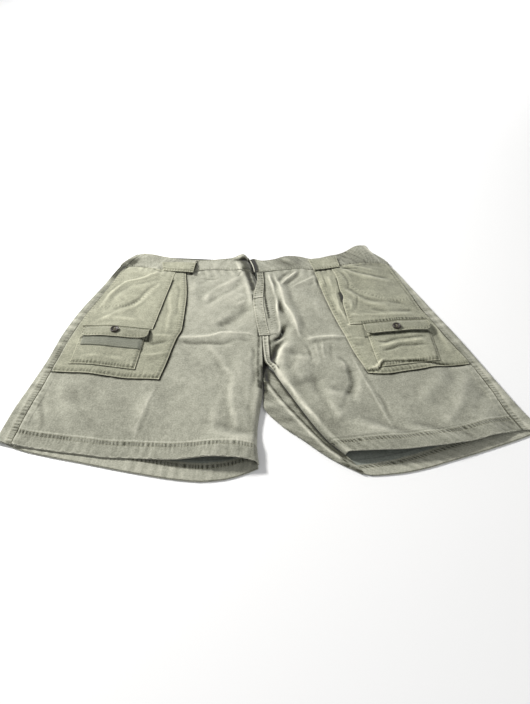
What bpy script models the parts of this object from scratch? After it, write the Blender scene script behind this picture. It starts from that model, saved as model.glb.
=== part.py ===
"""Cargo shorts laid flat, front up, waist away from the viewer and the right leg pulled outwards.

The tables are in millimetres. X runs to the right as seen from above with the waist at the top, so _l is
the wearer's right leg. Y runs from the hems to the waist, Z is up, and the back panels lie on Z = 0. Every
cloth piece is a wall around a grid of points. The front panels follow front_height(), and what is sewn on
them follows it moved out.
"""

import math

import bpy
import numpy as np

MM = 0.001
ORIGIN = np.array((-3.93, -6.75, 0.0))  # the middle of the whole garment on the floor, in the tables' frame
SIDES = ("left", "right")
OUTWARDS = {"left": -1.0, "right": 1.0}

# Cloth
CLOTH = 1.2  # wall of one layer
BAND = 2.4  # wall of the waistband, which is folded double
TAPE = 1.0
GAP = 0.3  # between two pieces at a seam
LAYER = 0.5  # between two pieces that lie on each other
HEM_T = 0.936  # where the turned hem begins, as a share of the leg from waist seam to hem
HEM_RELIEF = 0.8  # how much the turned hem thickens the wall
FELL_WIDTH, FELL_RELIEF = 11.0, 0.6  # felled side seam

# Body
SIDE_LIFT = 5.4  # middle of the wall at the side seams, above the floor
BODY_LIFT = 11.5  # middle of the front wall away from its edges
LIFT_RUN = 75.0  # distance over which the front rises from one to the other
EDGE_ROLL = 8.0  # how far in from the inner leg edge the front rolls over
ROLL_FROM, ROLL_FULL = 0.56, 0.64  # where along the leg the roll starts and is complete
INNER_FOLD = {"seam": 0.9, "leg": 1.9}  # radius of the right back's inner fold above and below the crotch
STRIP_FROM, STRIP_FULL = 0.50, 0.58  # where that fold's upper layer widens
BAND_RAISE = 0.6  # the waistband, being thicker, lies a little above the front panels
NOTCH_FROM, NOTCH_TO, NOTCH_DEPTH = 120.0, 240.0, 24.0  # the fly gapes over these heights, by this much

# Pieces on the front
PANEL_PUFF, HIP_PUFF, POCKET_PUFF = 1.8, 0.8, 2.4  # how far their middles stand off what carries them
PUFF_RUN = {"t": 24.0, "b": 6.0, "i": 6.0, "o": 6.0}  # how far in from a sewn edge a piece has risen
EDGE_STEPS = (1.8, 4.5)  # rows and columns this close to such an edge
PANEL_TOP = {"inner": 186.0, "outer": 200.0}
BELOW_WAIST = {"panel": 1.5, "hip": 2.5}  # how far below the waist seam a piece's top edge lies
SLIT_TOP, ABOVE_FLAP = 184.0, 1.0  # the hip panel's inner edge, and its distance from the flap
FLAP_LIFT = {"left": 0.5, "right": 2.0}  # how far a flap's lower edge stands off its pocket
FLAP_CLIMB = 0.4  # share of the flap's depth over which it climbs the pocket's top edge
FLAP_CORNER, CORNER_CUT = 0.13, 0.36  # share of the flap's width and depth in each rounded corner
TUNNEL_ARCH = 5.4  # how far a belt tunnel stands off the waistband
TUNNEL_FOOT = 0.22  # share of its depth over which it rises
TUNNEL_ROOM = 0.8  # the hip panel has risen by this much below the tunnel's lower edge
BAND_ROWS, LEAN_POWER = 3, 1.5  # the waistband leans more towards its top
BAND_GAP = 0.5  # its folded side edge is not square to the seam, so the seam is wider here
FLY_TOP, FLY_BOTTOM, FLY_WIDTH = 186.0, 0.0, 18.0
BUTTON_RADIUS, BUTTON_HEIGHT, BUTTON_SIDES = 7.5, 3.2, 20
BUTTON_DOWN, FLAP_DEPTH = 0.7, 33.0  # its middle's share of the flap's depth, and that depth
BUTTON_AT = {"left": (-272, 3), "right": (215, 10)}

# Heights of the middle of each sewn-on piece's edge above the middle of the front wall
ON_FRONT = CLOTH + FELL_RELIEF + LAYER
ON_PANEL = ON_FRONT + PANEL_PUFF + CLOTH + LAYER
ON_POCKET = ON_PANEL + POCKET_PUFF + CLOTH + LAYER
ON_TAPE = ON_POCKET + TAPE + LAYER

# Side folds of the body: where they lie at each height, and how far in on top of them the side seam runs.
OUTLINE = {
    "y": (262, 229, 148, 75, 9, -51, -106, -156, -214),
    "left": (-280, -303, -330, -355, -370, -377, -387, -397, -404),
    "right": (212, 238, 271, 298, 323, 343, 361, 378, 404),
    "seam_left": (12, 14, 16, 18, 18, 17, 21, 24, 26),
    "seam_right": (12, 12, 14, 20, 22, 19, 20, 26, 32),
}
# Inner line of each half from waist seam (t = 0) to hem (t = 1): centre front, then the leg's inner edge.
# "fold" is the back panel's fold inside the right leg, which runs out from under the front.
INNER = {
    "t": (0.0, 0.2, 0.4, 0.55, 0.62, 0.70, 0.78, 0.86, 0.93, 1.0),
    "left_x": (-20, -20, -19, -17, -16.5, -17, -21, -24.5, -25, -22),
    "left_y": (190, 100, 10, -57, -89, -125, -161, -197, -229, -259),
    "right_x": (-20, -20, -19, -14, 3, 17, 35, 54, 75, 101),
    "right_y": (190, 100, 12, -58, -84, -111, -145, -180, -214, -243),
    "fold_x": (-19, -19, -18, -16, -15, -15, 8, 42, 82, 122),
    "fold_y": (195, 105, 20, -62, -105, -148, -183, -213, -247, -271),
}
# Lines that cross the body, each with its y for every x.
WAIST_SEAM = {
    "x": (-307, -245, -214, -163, -113, -63, -19, 27, 58, 77, 134, 160, 243),
    "y": (222, 203, 196, 192, 197, 194, 189, 197, 203, 198, 206, 214, 224),
}
WAIST_TOP = {
    "x": (-280, -241, -207, -177, -146, -116, -87, -56, -30, -10, 8, 28, 59, 83, 122, 155, 186, 212),
    "y": (260, 249, 239, 232, 229, 232, 237, 241, 240, 229, 233, 240, 241, 234, 246, 257, 269, 269),
}
BACK_TOP = {"x": (-280, -146, -19, 90, 212), "y": (260, 250, 241, 247, 269)}
BAND_LEAN = {"x": (-306, -294, -35, -20, 229, 243), "by": (26, 28, -11, -10, -31, -32)}
FRONT_HEM = {
    "left": {
        "x": (-380, -341, -290, -240, -190, -143, -103, -46, -22),
        "y": (-224, -235, -244, -251, -254, -255, -254, -256, -259),
    },
    "right": {
        "x": (101, 142, 179, 227, 276, 315, 348, 374),
        "y": (-243, -243, -241, -235, -225, -213, -203, -196),
    },
}
BACK_HEM = {
    "left": {
        "x": (-404, -368, -322, -275, -235, -187, -135, -102, -70, -39, -20),
        "y": (-214, -231, -243, -253, -262, -272, -281, -284, -281, -271, -262),
    },
    "right": {
        "x": (122, 136, 172, 214, 242, 273, 303, 334, 361, 404),
        "y": (-271, -274, -271, -262, -253, -243, -233, -222, -212, -194),
    },
}
CARGO_INNER = {
    "left": {"y": (186, 94, 18, -10, -52, -102), "x": (-171, -160, -159, -166, -173, -182)},
    "right": {"y": (186, 77, 0, -42, -88), "x": (84, 105, 125, 137, 154)},
}
CARGO_BOTTOM = {
    "left": {"x": (-366, -312, -270, -229, -182), "y": (-80, -88, -96, -102, -104)},
    "right": {"x": (154, 172, 222, 273, 330), "y": (-90, -92, -84, -73, -64)},
}
SLIT = {
    "left": {"y": (184, 150, 83, 14), "x": (-190, -193, -201, -209)},
    "right": {"y": (184, 150, 89, 13), "x": (119, 127, 130, 137)},
}
FLY_LEFT = {"y": (192, 160, 100, 48, 2), "x": (-34, -32, -35, -30, -23)}
# Four-sided pieces by their corners: outer top, inner top, outer bottom, inner bottom.
POCKET = {
    "left": ((-333, 10), (-219, -6), (-335, -67), (-223, -86)),
    "right": ((277, 16), (164, 2), (275, -63), (172, -81)),
}
FLAP = {
    "left": ((-329, 26), (-213, 10), (-331, -7), (-213, -18)),
    "right": ((274, 42), (159, 24), (277, 8), (160, -7)),
}
TUNNEL = {
    "left": ((-216, 236), (-145, 225), (-209, 190), (-149, 185)),
    "right": ((133, 242), (74, 230), (136, 199), (84, 190)),
}
POCKET_TAPE = ((-331, -1), (-219, -17), (-331, -26), (-219, -43))
# The largest folds of the front: a soft ridge along a line, or a trough where the height is negative.
FOLDS = (
    {"name": "hem wave left", "line": ((-95, -290), (-68, -195)), "width": 32, "height": 7},
    {"name": "hem wave left, inner", "line": ((-45, -290), (-45, -205)), "width": 24, "height": 5},
    {"name": "hem wave right", "line": ((130, -275), (165, -190)), "width": 44, "height": 7},
    {"name": "hem wave right, outer", "line": ((215, -265), (235, -195)), "width": 40, "height": 5},
    {"name": "ridge by fly", "line": ((7, 177), (19, 110), (36, 52), (49, -10)), "width": 12, "height": 5},
    {"name": "crease right", "line": ((49, -10), (65, -7), (91, -5), (122, -5)), "width": 10, "height": 2},
    {
        "name": "crease left",
        "line": ((-165, -4), (-148, -2), (-111, -4), (-49, 8)),
        "width": 11,
        "height": 2,
    },
    {
        "name": "crest at the crotch",
        "line": ((44, -8), (17, -35), (13, -56), (14, -84), (30, -120)),
        "width": 11,
        "height": 3.5,
    },
    {
        "name": "valley at the crotch",
        "line": ((17, 40), (18, 10), (13, -12), (3, -34), (0, -52), (-1, -75)),
        "width": 9,
        "height": -5,
    },
    {"name": "bump at the crotch", "line": ((50, -40), (42, -75), (55, -110)), "width": 22, "height": 3.5},
    {
        "name": "curved valley",
        "line": ((119, -66), (125, -91), (124, -113), (112, -145)),
        "width": 12,
        "height": -3,
    },
    {"name": "ridge under it", "line": ((100, -120), (96, -160), (104, -190)), "width": 18, "height": 3},
    {
        "name": "crease of the left leg",
        "line": ((-188, -120), (-198, -168), (-208, -225)),
        "width": 12,
        "height": 2,
    },
    {
        "name": "hollow of the left hip",
        "line": ((-40, 150), (-75, 70), (-110, 40)),
        "width": 26,
        "height": -2,
    },
    {"name": "waist corner by the fly", "line": ((-58, 262), (-58, 228)), "width": 16, "height": 8},
    {"name": "waist wave right", "line": ((52, 262), (30, 215)), "width": 18, "height": 3},
)
TAPER = 0.25  # share of a fold's line over which it rises from nothing at each end

MATERIALS = {
    "twill": {"color": (0.43, 0.43, 0.33), "roughness": 0.9},
    "pocket_twill": {"color": (0.41, 0.42, 0.30), "roughness": 0.9},
    "tape": {"color": (0.28, 0.30, 0.27), "roughness": 0.85},
    "button": {"color": (0.045, 0.035, 0.025), "roughness": 0.4},
}

# Rows of the body panels, closer together at the crotch and at the edge of the turned hem
ROWS = np.concatenate(
    [
        np.linspace(0, 0.40, 9),
        np.linspace(0.44, 0.64, 6),
        np.linspace(0.69, 0.90, 6),
        [HEM_T - 0.004, HEM_T + 0.002, 0.97, 1.0],
    ]
)[:, None]
ROLL_COLUMNS = np.radians((0, 18, 36, 54, 72))[None, :]
FRONT_COLUMNS = np.concatenate([np.linspace(0, 0.18, 9), np.linspace(0.235, 1, 15)])[None, :]
BACK_COLUMNS = np.linspace(0, 1, 9)[None, :]
TURN_COLUMNS = np.radians((36, 72, 108, 144))[None, :]


# --- Curves and heights -------------------------------------------------------------------------------


def smoothstep(x):
    x = np.clip(x, 0.0, 1.0)
    return x * x * (3 - 2 * x)


def between(start, end, share):
    return start + (end - start) * share


def follow(table, along, value, at):
    """The value column at positions of the along column, on a smooth curve with no overshoot."""
    xs, ys = np.array(table[along], float), np.array(table[value], float)
    if xs[0] > xs[-1]:
        xs, ys = xs[::-1], ys[::-1]
    run = np.diff(xs)
    rise = np.diff(ys) / run
    slope = np.concatenate([rise[:1], np.zeros(len(xs) - 2), rise[-1:]])
    for k in range(1, len(xs) - 1):
        if rise[k - 1] * rise[k] > 0:
            before, after = 2 * run[k] + run[k - 1], run[k] + 2 * run[k - 1]
            slope[k] = (before + after) / (before / rise[k - 1] + after / rise[k])
    at = np.clip(np.asarray(at, float), xs[0], xs[-1])
    i = np.clip(np.searchsorted(xs, at) - 1, 0, len(xs) - 2)
    u = (at - xs[i]) / run[i]
    return (
        ys[i] * (1 + 2 * u) * (1 - u) ** 2
        + slope[i] * run[i] * u * (1 - u) ** 2
        + ys[i + 1] * u * u * (3 - 2 * u)
        + slope[i + 1] * run[i] * u * u * (u - 1)
    )


def side_x(side, y):
    return follow(OUTLINE, "y", side, y)


def seam_x(side, y):
    return side_x(side, y) - OUTWARDS[side] * follow(OUTLINE, "y", "seam_" + side, y)


def fold_height(fold, x, y):
    """Height of one fold over points of the floor."""
    line = np.array(fold["line"], float)
    lengths = np.hypot(*np.diff(line, axis=0).T)
    starts = np.concatenate([[0], np.cumsum(lengths)])
    nearest = np.full(np.shape(x), 1e9)
    place = np.zeros(np.shape(x))
    for (x0, y0), (x1, y1), start, length in zip(line, line[1:], starts, lengths):
        along = np.clip(((x - x0) * (x1 - x0) + (y - y0) * (y1 - y0)) / length**2, 0, 1)
        off = np.hypot(x - between(x0, x1, along), y - between(y0, y1, along))
        closer = off < nearest
        place = np.where(closer, (start + along * length) / starts[-1], place)
        nearest = np.where(closer, off, nearest)
    taper = smoothstep(place / TAPER) * smoothstep((1 - place) / TAPER)
    return fold["height"] * taper * np.exp(-((nearest / fold["width"]) ** 2))


def front_height(x, y):
    """Height of the middle of the front wall over points of the floor."""
    x, y = np.asarray(x, float), np.asarray(y, float)
    from_seam = np.minimum(x - seam_x("left", y), seam_x("right", y) - x)
    z = between(SIDE_LIFT, BODY_LIFT, smoothstep(from_seam / LIFT_RUN))
    return z + sum(fold_height(fold, x, y) for fold in FOLDS)


# --- Meshes -------------------------------------------------------------------------------------------


def material(name):
    found = bpy.data.materials.get(name)
    if found:
        return found
    made = bpy.data.materials.new(name)
    made.use_nodes = True
    shader = made.node_tree.nodes["Principled BSDF"]
    shader.inputs["Base Color"].default_value = (*MATERIALS[name]["color"], 1.0)
    shader.inputs["Roughness"].default_value = MATERIALS[name]["roughness"]
    shader.inputs["Metallic"].default_value = 0.0
    return made


def solid(name, points, faces, material_name):
    mesh = bpy.data.meshes.new(name)
    mesh.from_pydata(((np.asarray(points, float) - ORIGIN) * MM).tolist(), [], faces)
    mesh.materials.append(material(material_name))
    mesh.shade_smooth()
    mesh.set_sharp_from_angle(angle=math.radians(40))
    made = bpy.data.objects.new(name, mesh)
    bpy.context.scene.collection.objects.link(made)
    return made


def grid_normals(grid):
    normal = np.cross(np.gradient(grid, axis=1), np.gradient(grid, axis=0))
    return normal / np.linalg.norm(normal, axis=2, keepdims=True)


def wall(name, grid, material_name, outward=CLOTH / 2, inward=CLOTH / 2, outside_up=True):
    """A closed wall around a grid of points, from inward to outward of it.

    The grid's outside is up, or down, at the middle of its first row.
    """
    rows, columns = grid.shape[:2]
    normal = grid_normals(grid)
    if (normal[0, columns // 2, 2] > 0) != outside_up:
        normal = -normal
    outward = np.broadcast_to(outward, (rows, columns))[..., None]
    inward = np.broadcast_to(inward, (rows, columns))[..., None]
    outside = (grid + normal * outward).reshape(-1, 3)
    inside = (grid - normal * inward).reshape(-1, 3)
    top = np.arange(rows * columns).reshape(rows, columns)
    low = top + rows * columns
    faces = []
    for i in range(rows - 1):
        for j in range(columns - 1):
            faces.append((top[i, j], top[i, j + 1], top[i + 1, j + 1], top[i + 1, j]))
            faces.append((low[i + 1, j], low[i + 1, j + 1], low[i, j + 1], low[i, j]))
    around = [*top[0], *top[1:, -1], *top[-1, -2::-1], *top[-2:0:-1, 0]]
    for here, after in zip(around, around[1:] + around[:1]):
        faces.append((after, here, here + rows * columns, after + rows * columns))
    points = np.concatenate([outside, inside])
    if facing(points, faces) < 0:
        faces = [face[::-1] for face in faces]
    return solid(name, points, [tuple(int(i) for i in face) for face in faces], material_name)


def facing(points, faces):
    """Positive where the faces of a closed body point out of it."""
    corners = np.array([points[list(face)] for face in faces])
    return sum(np.linalg.det(corners[:, [0, k, k + 1]]).sum() for k in (1, 2))


# --- Body panels --------------------------------------------------------------------------------------


def meet(line, side, y):
    """The height at which a cross line meets a side seam, starting from a guess."""
    for _ in range(20):
        y = float(follow(line, "x", "y", seam_x(side, y)))
    return y


def seam_line(side):
    """Points of a side seam in plan, one for each row."""
    y = between(meet(WAIST_SEAM, side, 220.0), meet(FRONT_HEM[side], side, -210.0), ROWS)
    return seam_x(side, y), y


def cross(start, end, share, hem):
    """Points between two lines in plan, bent to meet the waist seam and, in the last row, the hem."""
    x = between(start[0], end[0], share)
    y = between(start[1], end[1], share)
    to_waist = follow(WAIST_SEAM, "x", "y", x[0]) - y[0]
    to_hem = follow(hem, "x", "y", x[-1]) - y[-1]
    return x, y + to_waist * (1 - ROWS) ** 4 + to_hem * ROWS**4


def inner_line(name):
    return follow(INNER, "t", name + "_x", ROWS), follow(INNER, "t", name + "_y", ROWS)


def front_grid(side):
    """Columns from the inner edge, rolled over below the crotch, to the side seam."""
    out = OUTWARDS[side]
    inner_x, inner_y = inner_line(side)
    inner_x = inner_x + out * GAP / 2
    if side == "left":
        gape = smoothstep((inner_y - NOTCH_FROM) / (NOTCH_TO - NOTCH_FROM))
        inner_x = inner_x + out * NOTCH_DEPTH * gape
    sx, sy = seam_line(side)
    start = (inner_x + out * EDGE_ROLL, inner_y)
    x, y = cross(start, (sx - out * GAP / 2, sy), FRONT_COLUMNS, FRONT_HEM[side])
    z = front_height(x, y)
    rolled = smoothstep((ROWS - ROLL_FROM) / (ROLL_FULL - ROLL_FROM))
    rests_at = CLOTH + GAP + (2 * INNER_FOLD["leg"] if side == "right" else HEM_RELIEF * hem_rows())
    flat_x = inner_x + out * EDGE_ROLL * ROLL_COLUMNS / math.radians(90)
    roll_x = inner_x + out * EDGE_ROLL * (1 - np.cos(ROLL_COLUMNS))
    edge_x = between(flat_x, roll_x, rolled)
    edge_y = y[:, :1] + 0 * edge_x
    roll_z = between(rests_at, z[:, :1], np.sin(ROLL_COLUMNS))
    edge_z = between(front_height(edge_x, edge_y), roll_z, rolled)
    return np.stack([np.hstack(pair) for pair in ((edge_x, x), (edge_y, y), (edge_z, z))], axis=2)


def hem_rows():
    return (ROWS > HEM_T).astype(float)


def front_panel(side):
    grid = front_grid(side)
    near_seam = np.abs(grid[..., 0] - grid[:, -1:, 0]) < FELL_WIDTH
    relief = HEM_RELIEF / 2 * hem_rows()
    outward = CLOTH / 2 + relief + FELL_RELIEF * near_seam * (1 - hem_rows())
    return wall("front_" + side[0], grid, "twill", outward, CLOTH / 2 + relief)


def back_grid(side):
    """Columns flat on the floor from the inner edge, up round the side and in on top to the side seam."""
    out = OUTWARDS[side]
    sx, sy = seam_line(side)
    radius = (SIDE_LIFT - CLOTH / 2) / 2
    hem_at_fold = follow(BACK_HEM[side], "x", "y", side_x(side, sy[-1]))
    fold_y = sy + (hem_at_fold - sy[-1]) * ROWS**4
    out_x = side_x(side, fold_y) - out * radius
    if side == "left":
        inner_x, inner_y = inner_line("left")
        parts = []
        start = (inner_x - GAP / 2, inner_y)
    else:
        parts = folded_strip()
        fold_x, fold_line_y = inner_line("fold")
        start = (fold_x + fold_radius(), fold_line_y)
    x, y = cross(start, (out_x, fold_y), BACK_COLUMNS, BACK_HEM[side])
    parts = [(part_x, part_y + y[:, :1] - start[1], part_z) for part_x, part_y, part_z in parts]
    parts.append((x, y, CLOTH / 2 + 0 * x))
    edge_y = y[:, -1:]
    turn_x = out_x + out * radius * np.sin(TURN_COLUMNS)
    turn_z = CLOTH / 2 + radius * (1 - np.cos(TURN_COLUMNS)) + 0 * turn_x
    over = np.array((0.0, 0.45, 1.0))[None, :]
    over_x = between(out_x, sx + out * GAP / 2, over)
    wrap = np.linspace(0, 1, TURN_COLUMNS.size + over.size + 1)[None, 1:]
    wrap_y = between(edge_y, sy, wrap)
    parts.append((turn_x, wrap_y[:, : TURN_COLUMNS.size], turn_z))
    parts.append((over_x, wrap_y[:, TURN_COLUMNS.size :], SIDE_LIFT + 0 * over_x))
    return np.stack([np.hstack([part[k] for part in parts]) for k in range(3)], axis=2)


def strip_widened():
    return smoothstep((ROWS - STRIP_FROM) / (STRIP_FULL - STRIP_FROM))


def fold_radius():
    return between(INNER_FOLD["seam"], INNER_FOLD["leg"], strip_widened())


def folded_strip():
    """Inside the right leg the back folds over and runs on top of itself as far as the front's edge."""
    fold_x, fold_y = inner_line("fold")
    front_x, front_y = inner_line("right")
    radius, widened = fold_radius(), strip_widened()
    start_x = fold_x + radius
    end_x = between(start_x + 2.0, front_x + 2.5, widened)
    end_y = between(fold_y, front_y - 1.5, widened)
    across = np.array((0.0, 0.33, 0.67))[None, :]
    strip_x = between(end_x, start_x, across)
    strip_y = between(end_y, fold_y, across)
    strip_z = CLOTH / 2 + 2 * radius + 0 * strip_x
    turn = np.radians((0, 45, 90, 135))[None, :]
    turn_x = start_x - radius * np.sin(turn)
    turn_z = CLOTH / 2 + radius * (1 + np.cos(turn)) + 0 * turn_x
    return (strip_x, strip_y, strip_z), (turn_x, fold_y + 0 * turn_x, turn_z)


def back_panel(side):
    inward = CLOTH / 2 + HEM_RELIEF * hem_rows()
    return wall("back_" + side[0], back_grid(side), "twill", CLOTH / 2, inward, outside_up=False)


# --- Waistband ----------------------------------------------------------------------------------------


def band_points(seam):
    """Plan points of a band from a row of points on the waist seam up to its top line."""
    up = np.linspace(0, 1, BAND_ROWS)[:, None]
    x = seam[None, :, 0] + follow(BAND_LEAN, "x", "by", seam[:, 0]) * up**LEAN_POWER
    on_floor = seam[:, 2] < CLOTH
    top_y = np.where(on_floor, follow(BACK_TOP, "x", "y", x[-1]), follow(WAIST_TOP, "x", "y", x[-1]))
    return x, between(seam[:, 1] + BAND_GAP, top_y, up)


def band_front(side):
    grid = front_grid(side)
    seam = grid[0, [0, *range(ROLL_COLUMNS.size, grid.shape[1])]]
    x, y = band_points(seam)
    z = front_height(x, y) + BAND_RAISE
    return wall("waistband_front_" + side[0], np.stack([x, y, z], axis=2), "twill", BAND / 2, BAND / 2)


def band_back():
    """Flat on the floor, folded up at both sides and in on top to the side seams."""
    left, right = back_grid("left")[0], back_grid("right")[0]
    floor_from = right.shape[0] - left.shape[0]
    seam = np.concatenate([left[::-1], right[floor_from:]])
    x, y = band_points(seam)
    stretch = (SIDE_LIFT + BAND_RAISE - BAND / 2) / (SIDE_LIFT - CLOTH / 2)
    z = BAND / 2 + (seam[:, 2] - CLOTH / 2) * stretch + 0 * x
    grid = np.stack([x, y, z], axis=2)
    return wall("waistband_back", grid, "twill", BAND / 2, BAND / 2, outside_up=False)


def belt_tunnel(side):
    """A wide belt loop, sewn down on the band's top edge and below its seam, and open at both ends."""
    down, x, y = quad_grid(TUNNEL[side], edged(13, 42), np.linspace(0, 1, 8))
    top_foot = BAND_RAISE + BAND / 2 + LAYER + CLOTH / 2
    low_foot = ON_FRONT + 2 * (CLOTH + LAYER) + TUNNEL_ROOM
    arch = TUNNEL_ARCH * smoothstep(np.minimum(down, 1 - down) / TUNNEL_FOOT)
    level = np.maximum(top_foot + arch, between(top_foot, low_foot, smoothstep(down)))
    z = front_height(x, y) + level
    return wall("belt_tunnel_" + side[0], np.stack([x, y, z], axis=2), "pocket_twill")


# --- Pieces on the front ------------------------------------------------------------------------------


def edged(count, length):
    """Shares from 0 to 1 of a length, with two more close to each end, where the cloth turns down."""
    near = np.array(EDGE_STEPS) / length
    inside = np.linspace(near[-1], 1 - near[-1], count - 4)
    return np.concatenate([[0, near[0]], inside, [1 - near[0], 1]])


def quad_grid(corners, down, across):
    """Points inside a four-sided piece: rows from its top, columns from its inner edge."""
    outer_top, inner_top, outer_low, inner_low = (np.array(corner, float) for corner in corners)
    down, across = down[:, None], across[None, :]
    inner = between(inner_top, inner_low, down[..., None])
    outer = between(outer_top, outer_low, down[..., None])
    points = between(inner, outer, across[..., None])
    return down + 0 * across, points[..., 0], points[..., 1]


def raised(name, x, y, material_name, level, puffs=(), thickness=CLOTH):
    """A piece whose edges lie at a level above the middle of the front wall.

    Each puff is a rise and the edges that stay down under it: t, b, i and o are top, bottom, inner, outer.
    """
    away = {
        "t": np.hypot(x - x[:1], y - y[:1]),
        "b": np.hypot(x - x[-1:], y - y[-1:]),
        "i": np.hypot(x - x[:, :1], y - y[:, :1]),
        "o": np.hypot(x - x[:, -1:], y - y[:, -1:]),
    }
    z = front_height(x, y) + level
    for rise, edges in puffs:
        for edge in edges:
            rise = rise * smoothstep(away[edge] / PUFF_RUN[edge])
        z = z + rise
    return wall(name, np.stack([x, y, z], axis=2), material_name, thickness / 2, thickness / 2)


def cargo_panel(side):
    outermost = 0 if side == "left" else -1
    low = {"inner": CARGO_INNER[side]["y"][-1], "outer": CARGO_BOTTOM[side]["y"][outermost]}
    down = edged(17, 290)[:, None]
    across = edged(13, 170)[None, :]
    inner_y = between(PANEL_TOP["inner"], low["inner"], down)
    outer_y = between(PANEL_TOP["outer"], low["outer"], down)
    inner_x = follow(CARGO_INNER[side], "y", "x", inner_y)
    outer_x = seam_x(side, outer_y) - OUTWARDS[side] * FELL_WIDTH / 3
    x = between(inner_x, outer_x, across)
    y = between(inner_y, outer_y, across)
    to_top = follow(WAIST_SEAM, "x", "y", x[0]) - BELOW_WAIST["panel"] - y[0]
    to_bottom = follow(CARGO_BOTTOM[side], "x", "y", x[-1]) - y[-1]
    y = y + to_top * (1 - down) ** 3 + to_bottom * down**3
    return raised("cargo_panel_" + side[0], x, y, "pocket_twill", ON_FRONT, ((PANEL_PUFF, "tbi"),))


def hip_panel(side):
    """The side's upper layer, from waist to flap. Its inner edge is the mouth of the hand pocket."""
    outer_top, inner_top = FLAP[side][:2]
    flap_line = dict(zip(("x", "y"), zip(outer_top, inner_top)))
    down = edged(12, 180)[:, None]
    across = edged(10, 130)[None, :]
    inner_y = between(SLIT_TOP, inner_top[1] + ABOVE_FLAP, down)
    outer_y = between(PANEL_TOP["outer"], outer_top[1] + ABOVE_FLAP, down)
    inner_x = follow(SLIT[side], "y", "x", inner_y)
    outer_x = seam_x(side, outer_y) - OUTWARDS[side] * FELL_WIDTH
    x = between(inner_x, outer_x, across)
    y = between(inner_y, outer_y, across)
    to_top = follow(WAIST_SEAM, "x", "y", x[0]) - BELOW_WAIST["hip"] - y[0]
    to_flap = follow(flap_line, "x", "y", x[-1]) + ABOVE_FLAP - y[-1]
    y = y + to_top * (1 - down) ** 3 + to_flap * down**3
    level = ON_FRONT + CLOTH + LAYER
    puffs = ((PANEL_PUFF, "t"), (HIP_PUFF, "ti"))
    return raised("hip_panel_" + side[0], x, y, "pocket_twill", level, puffs)


def cargo_pocket(side):
    _, x, y = quad_grid(POCKET[side], edged(11, 78), edged(13, 113))
    return raised("cargo_pocket_" + side[0], x, y, "pocket_twill", ON_PANEL, ((POCKET_PUFF, "bio"),))


def pocket_tape():
    _, x, y = quad_grid(POCKET_TAPE, np.linspace(0, 1, 4), np.linspace(0.06, 0.94, 11))
    return raised("pocket_tape_l", x, y, "tape", ON_POCKET, thickness=TAPE)


def flap_level(side, down):
    """Height of the flap above the front: sewn to the panel at its top, then over the pocket's edge."""
    climb = smoothstep(down / FLAP_CLIMB)
    return between(ON_PANEL + HIP_PUFF, ON_TAPE, climb) + FLAP_LIFT[side] * down**1.5


def flap(side):
    """Sewn along its top, free along the other edges, with rounded lower corners."""
    across = edged(15, 116)
    down, x, y = quad_grid(FLAP[side], edged(9, 33), across)
    from_side = np.minimum(across, 1 - across) / FLAP_CORNER
    rounded = 1 - np.sqrt(1 - (1 - np.minimum(from_side, 1)) ** 2)
    y = y[0] + (y - y[0]) * (1 - CORNER_CUT * rounded)
    z = front_height(x, y) + flap_level(side, down)
    return wall("flap_" + side[0], np.stack([x, y, z], axis=2), "pocket_twill")


def button(side):
    """A button lying on its flap, with a raised rim around a sunken middle."""
    cx, cy = BUTTON_AT[side]
    steps = (-1, 0, 1)
    shares = (BUTTON_DOWN - step * BUTTON_RADIUS / FLAP_DEPTH for step in steps)
    heights = (front_height(cx, cy + step * BUTTON_RADIUS) for step in steps)
    under = max(height + flap_level(side, share) for height, share in zip(heights, shares))
    base = float(under) + CLOTH / 2 + GAP
    profile = (
        {"radius": 0.90, "height": 0.00},
        {"radius": 1.00, "height": 0.35},
        {"radius": 1.00, "height": 0.70},
        {"radius": 0.86, "height": 1.00},
        {"radius": 0.66, "height": 0.72},
    )
    points = []
    for ring in profile:
        for k in range(BUTTON_SIDES):
            turn = 2 * math.pi * k / BUTTON_SIDES
            reach = BUTTON_RADIUS * ring["radius"]
            height = base + BUTTON_HEIGHT * ring["height"]
            points.append((cx + reach * math.cos(turn), cy + reach * math.sin(turn), height))
    faces = [tuple(reversed(range(BUTTON_SIDES)))]
    for first in range(0, len(points) - BUTTON_SIDES, BUTTON_SIDES):
        for k in range(BUTTON_SIDES):
            after = (k + 1) % BUTTON_SIDES
            faces.append((first + k, first + after, first + BUTTON_SIDES + after, first + BUTTON_SIDES + k))
    faces.append(tuple(range(len(points) - BUTTON_SIDES, len(points))))
    return solid("button_" + side[0], points, faces, "button")


def fly_placket():
    """The strip that covers the centre-front closure."""
    y = between(FLY_TOP, FLY_BOTTOM, np.linspace(0, 1, 15)[:, None] + np.zeros((1, 5)))
    x = follow(FLY_LEFT, "y", "x", y) + FLY_WIDTH * np.linspace(0, 1, 5)[None, :]
    return raised("fly_placket", x, y, "twill", CLOTH + LAYER)


def main():
    for old in list(bpy.data.objects):
        bpy.data.objects.remove(old)
    for side in SIDES:
        front_panel(side)
        back_panel(side)
        band_front(side)
        belt_tunnel(side)
        cargo_panel(side)
        hip_panel(side)
        cargo_pocket(side)
        flap(side)
        button(side)
    band_back()
    fly_placket()
    pocket_tape()


main()
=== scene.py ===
"""Looks of the cargo shorts: every cloth piece as a fine closed shell on the line of its CAD solid, with
its creases, gathered seams, stitches and washed twill, and the two buttons.

Lengths in the tables are millimetres unless they say metres, in the frame of the construction: X to the
right, Y from the hems to the waist, Z up. _l and "left" are the side at -X. The edges of a piece are t, b,
i and o: top, bottom, inner and outer.
"""

import math

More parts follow.
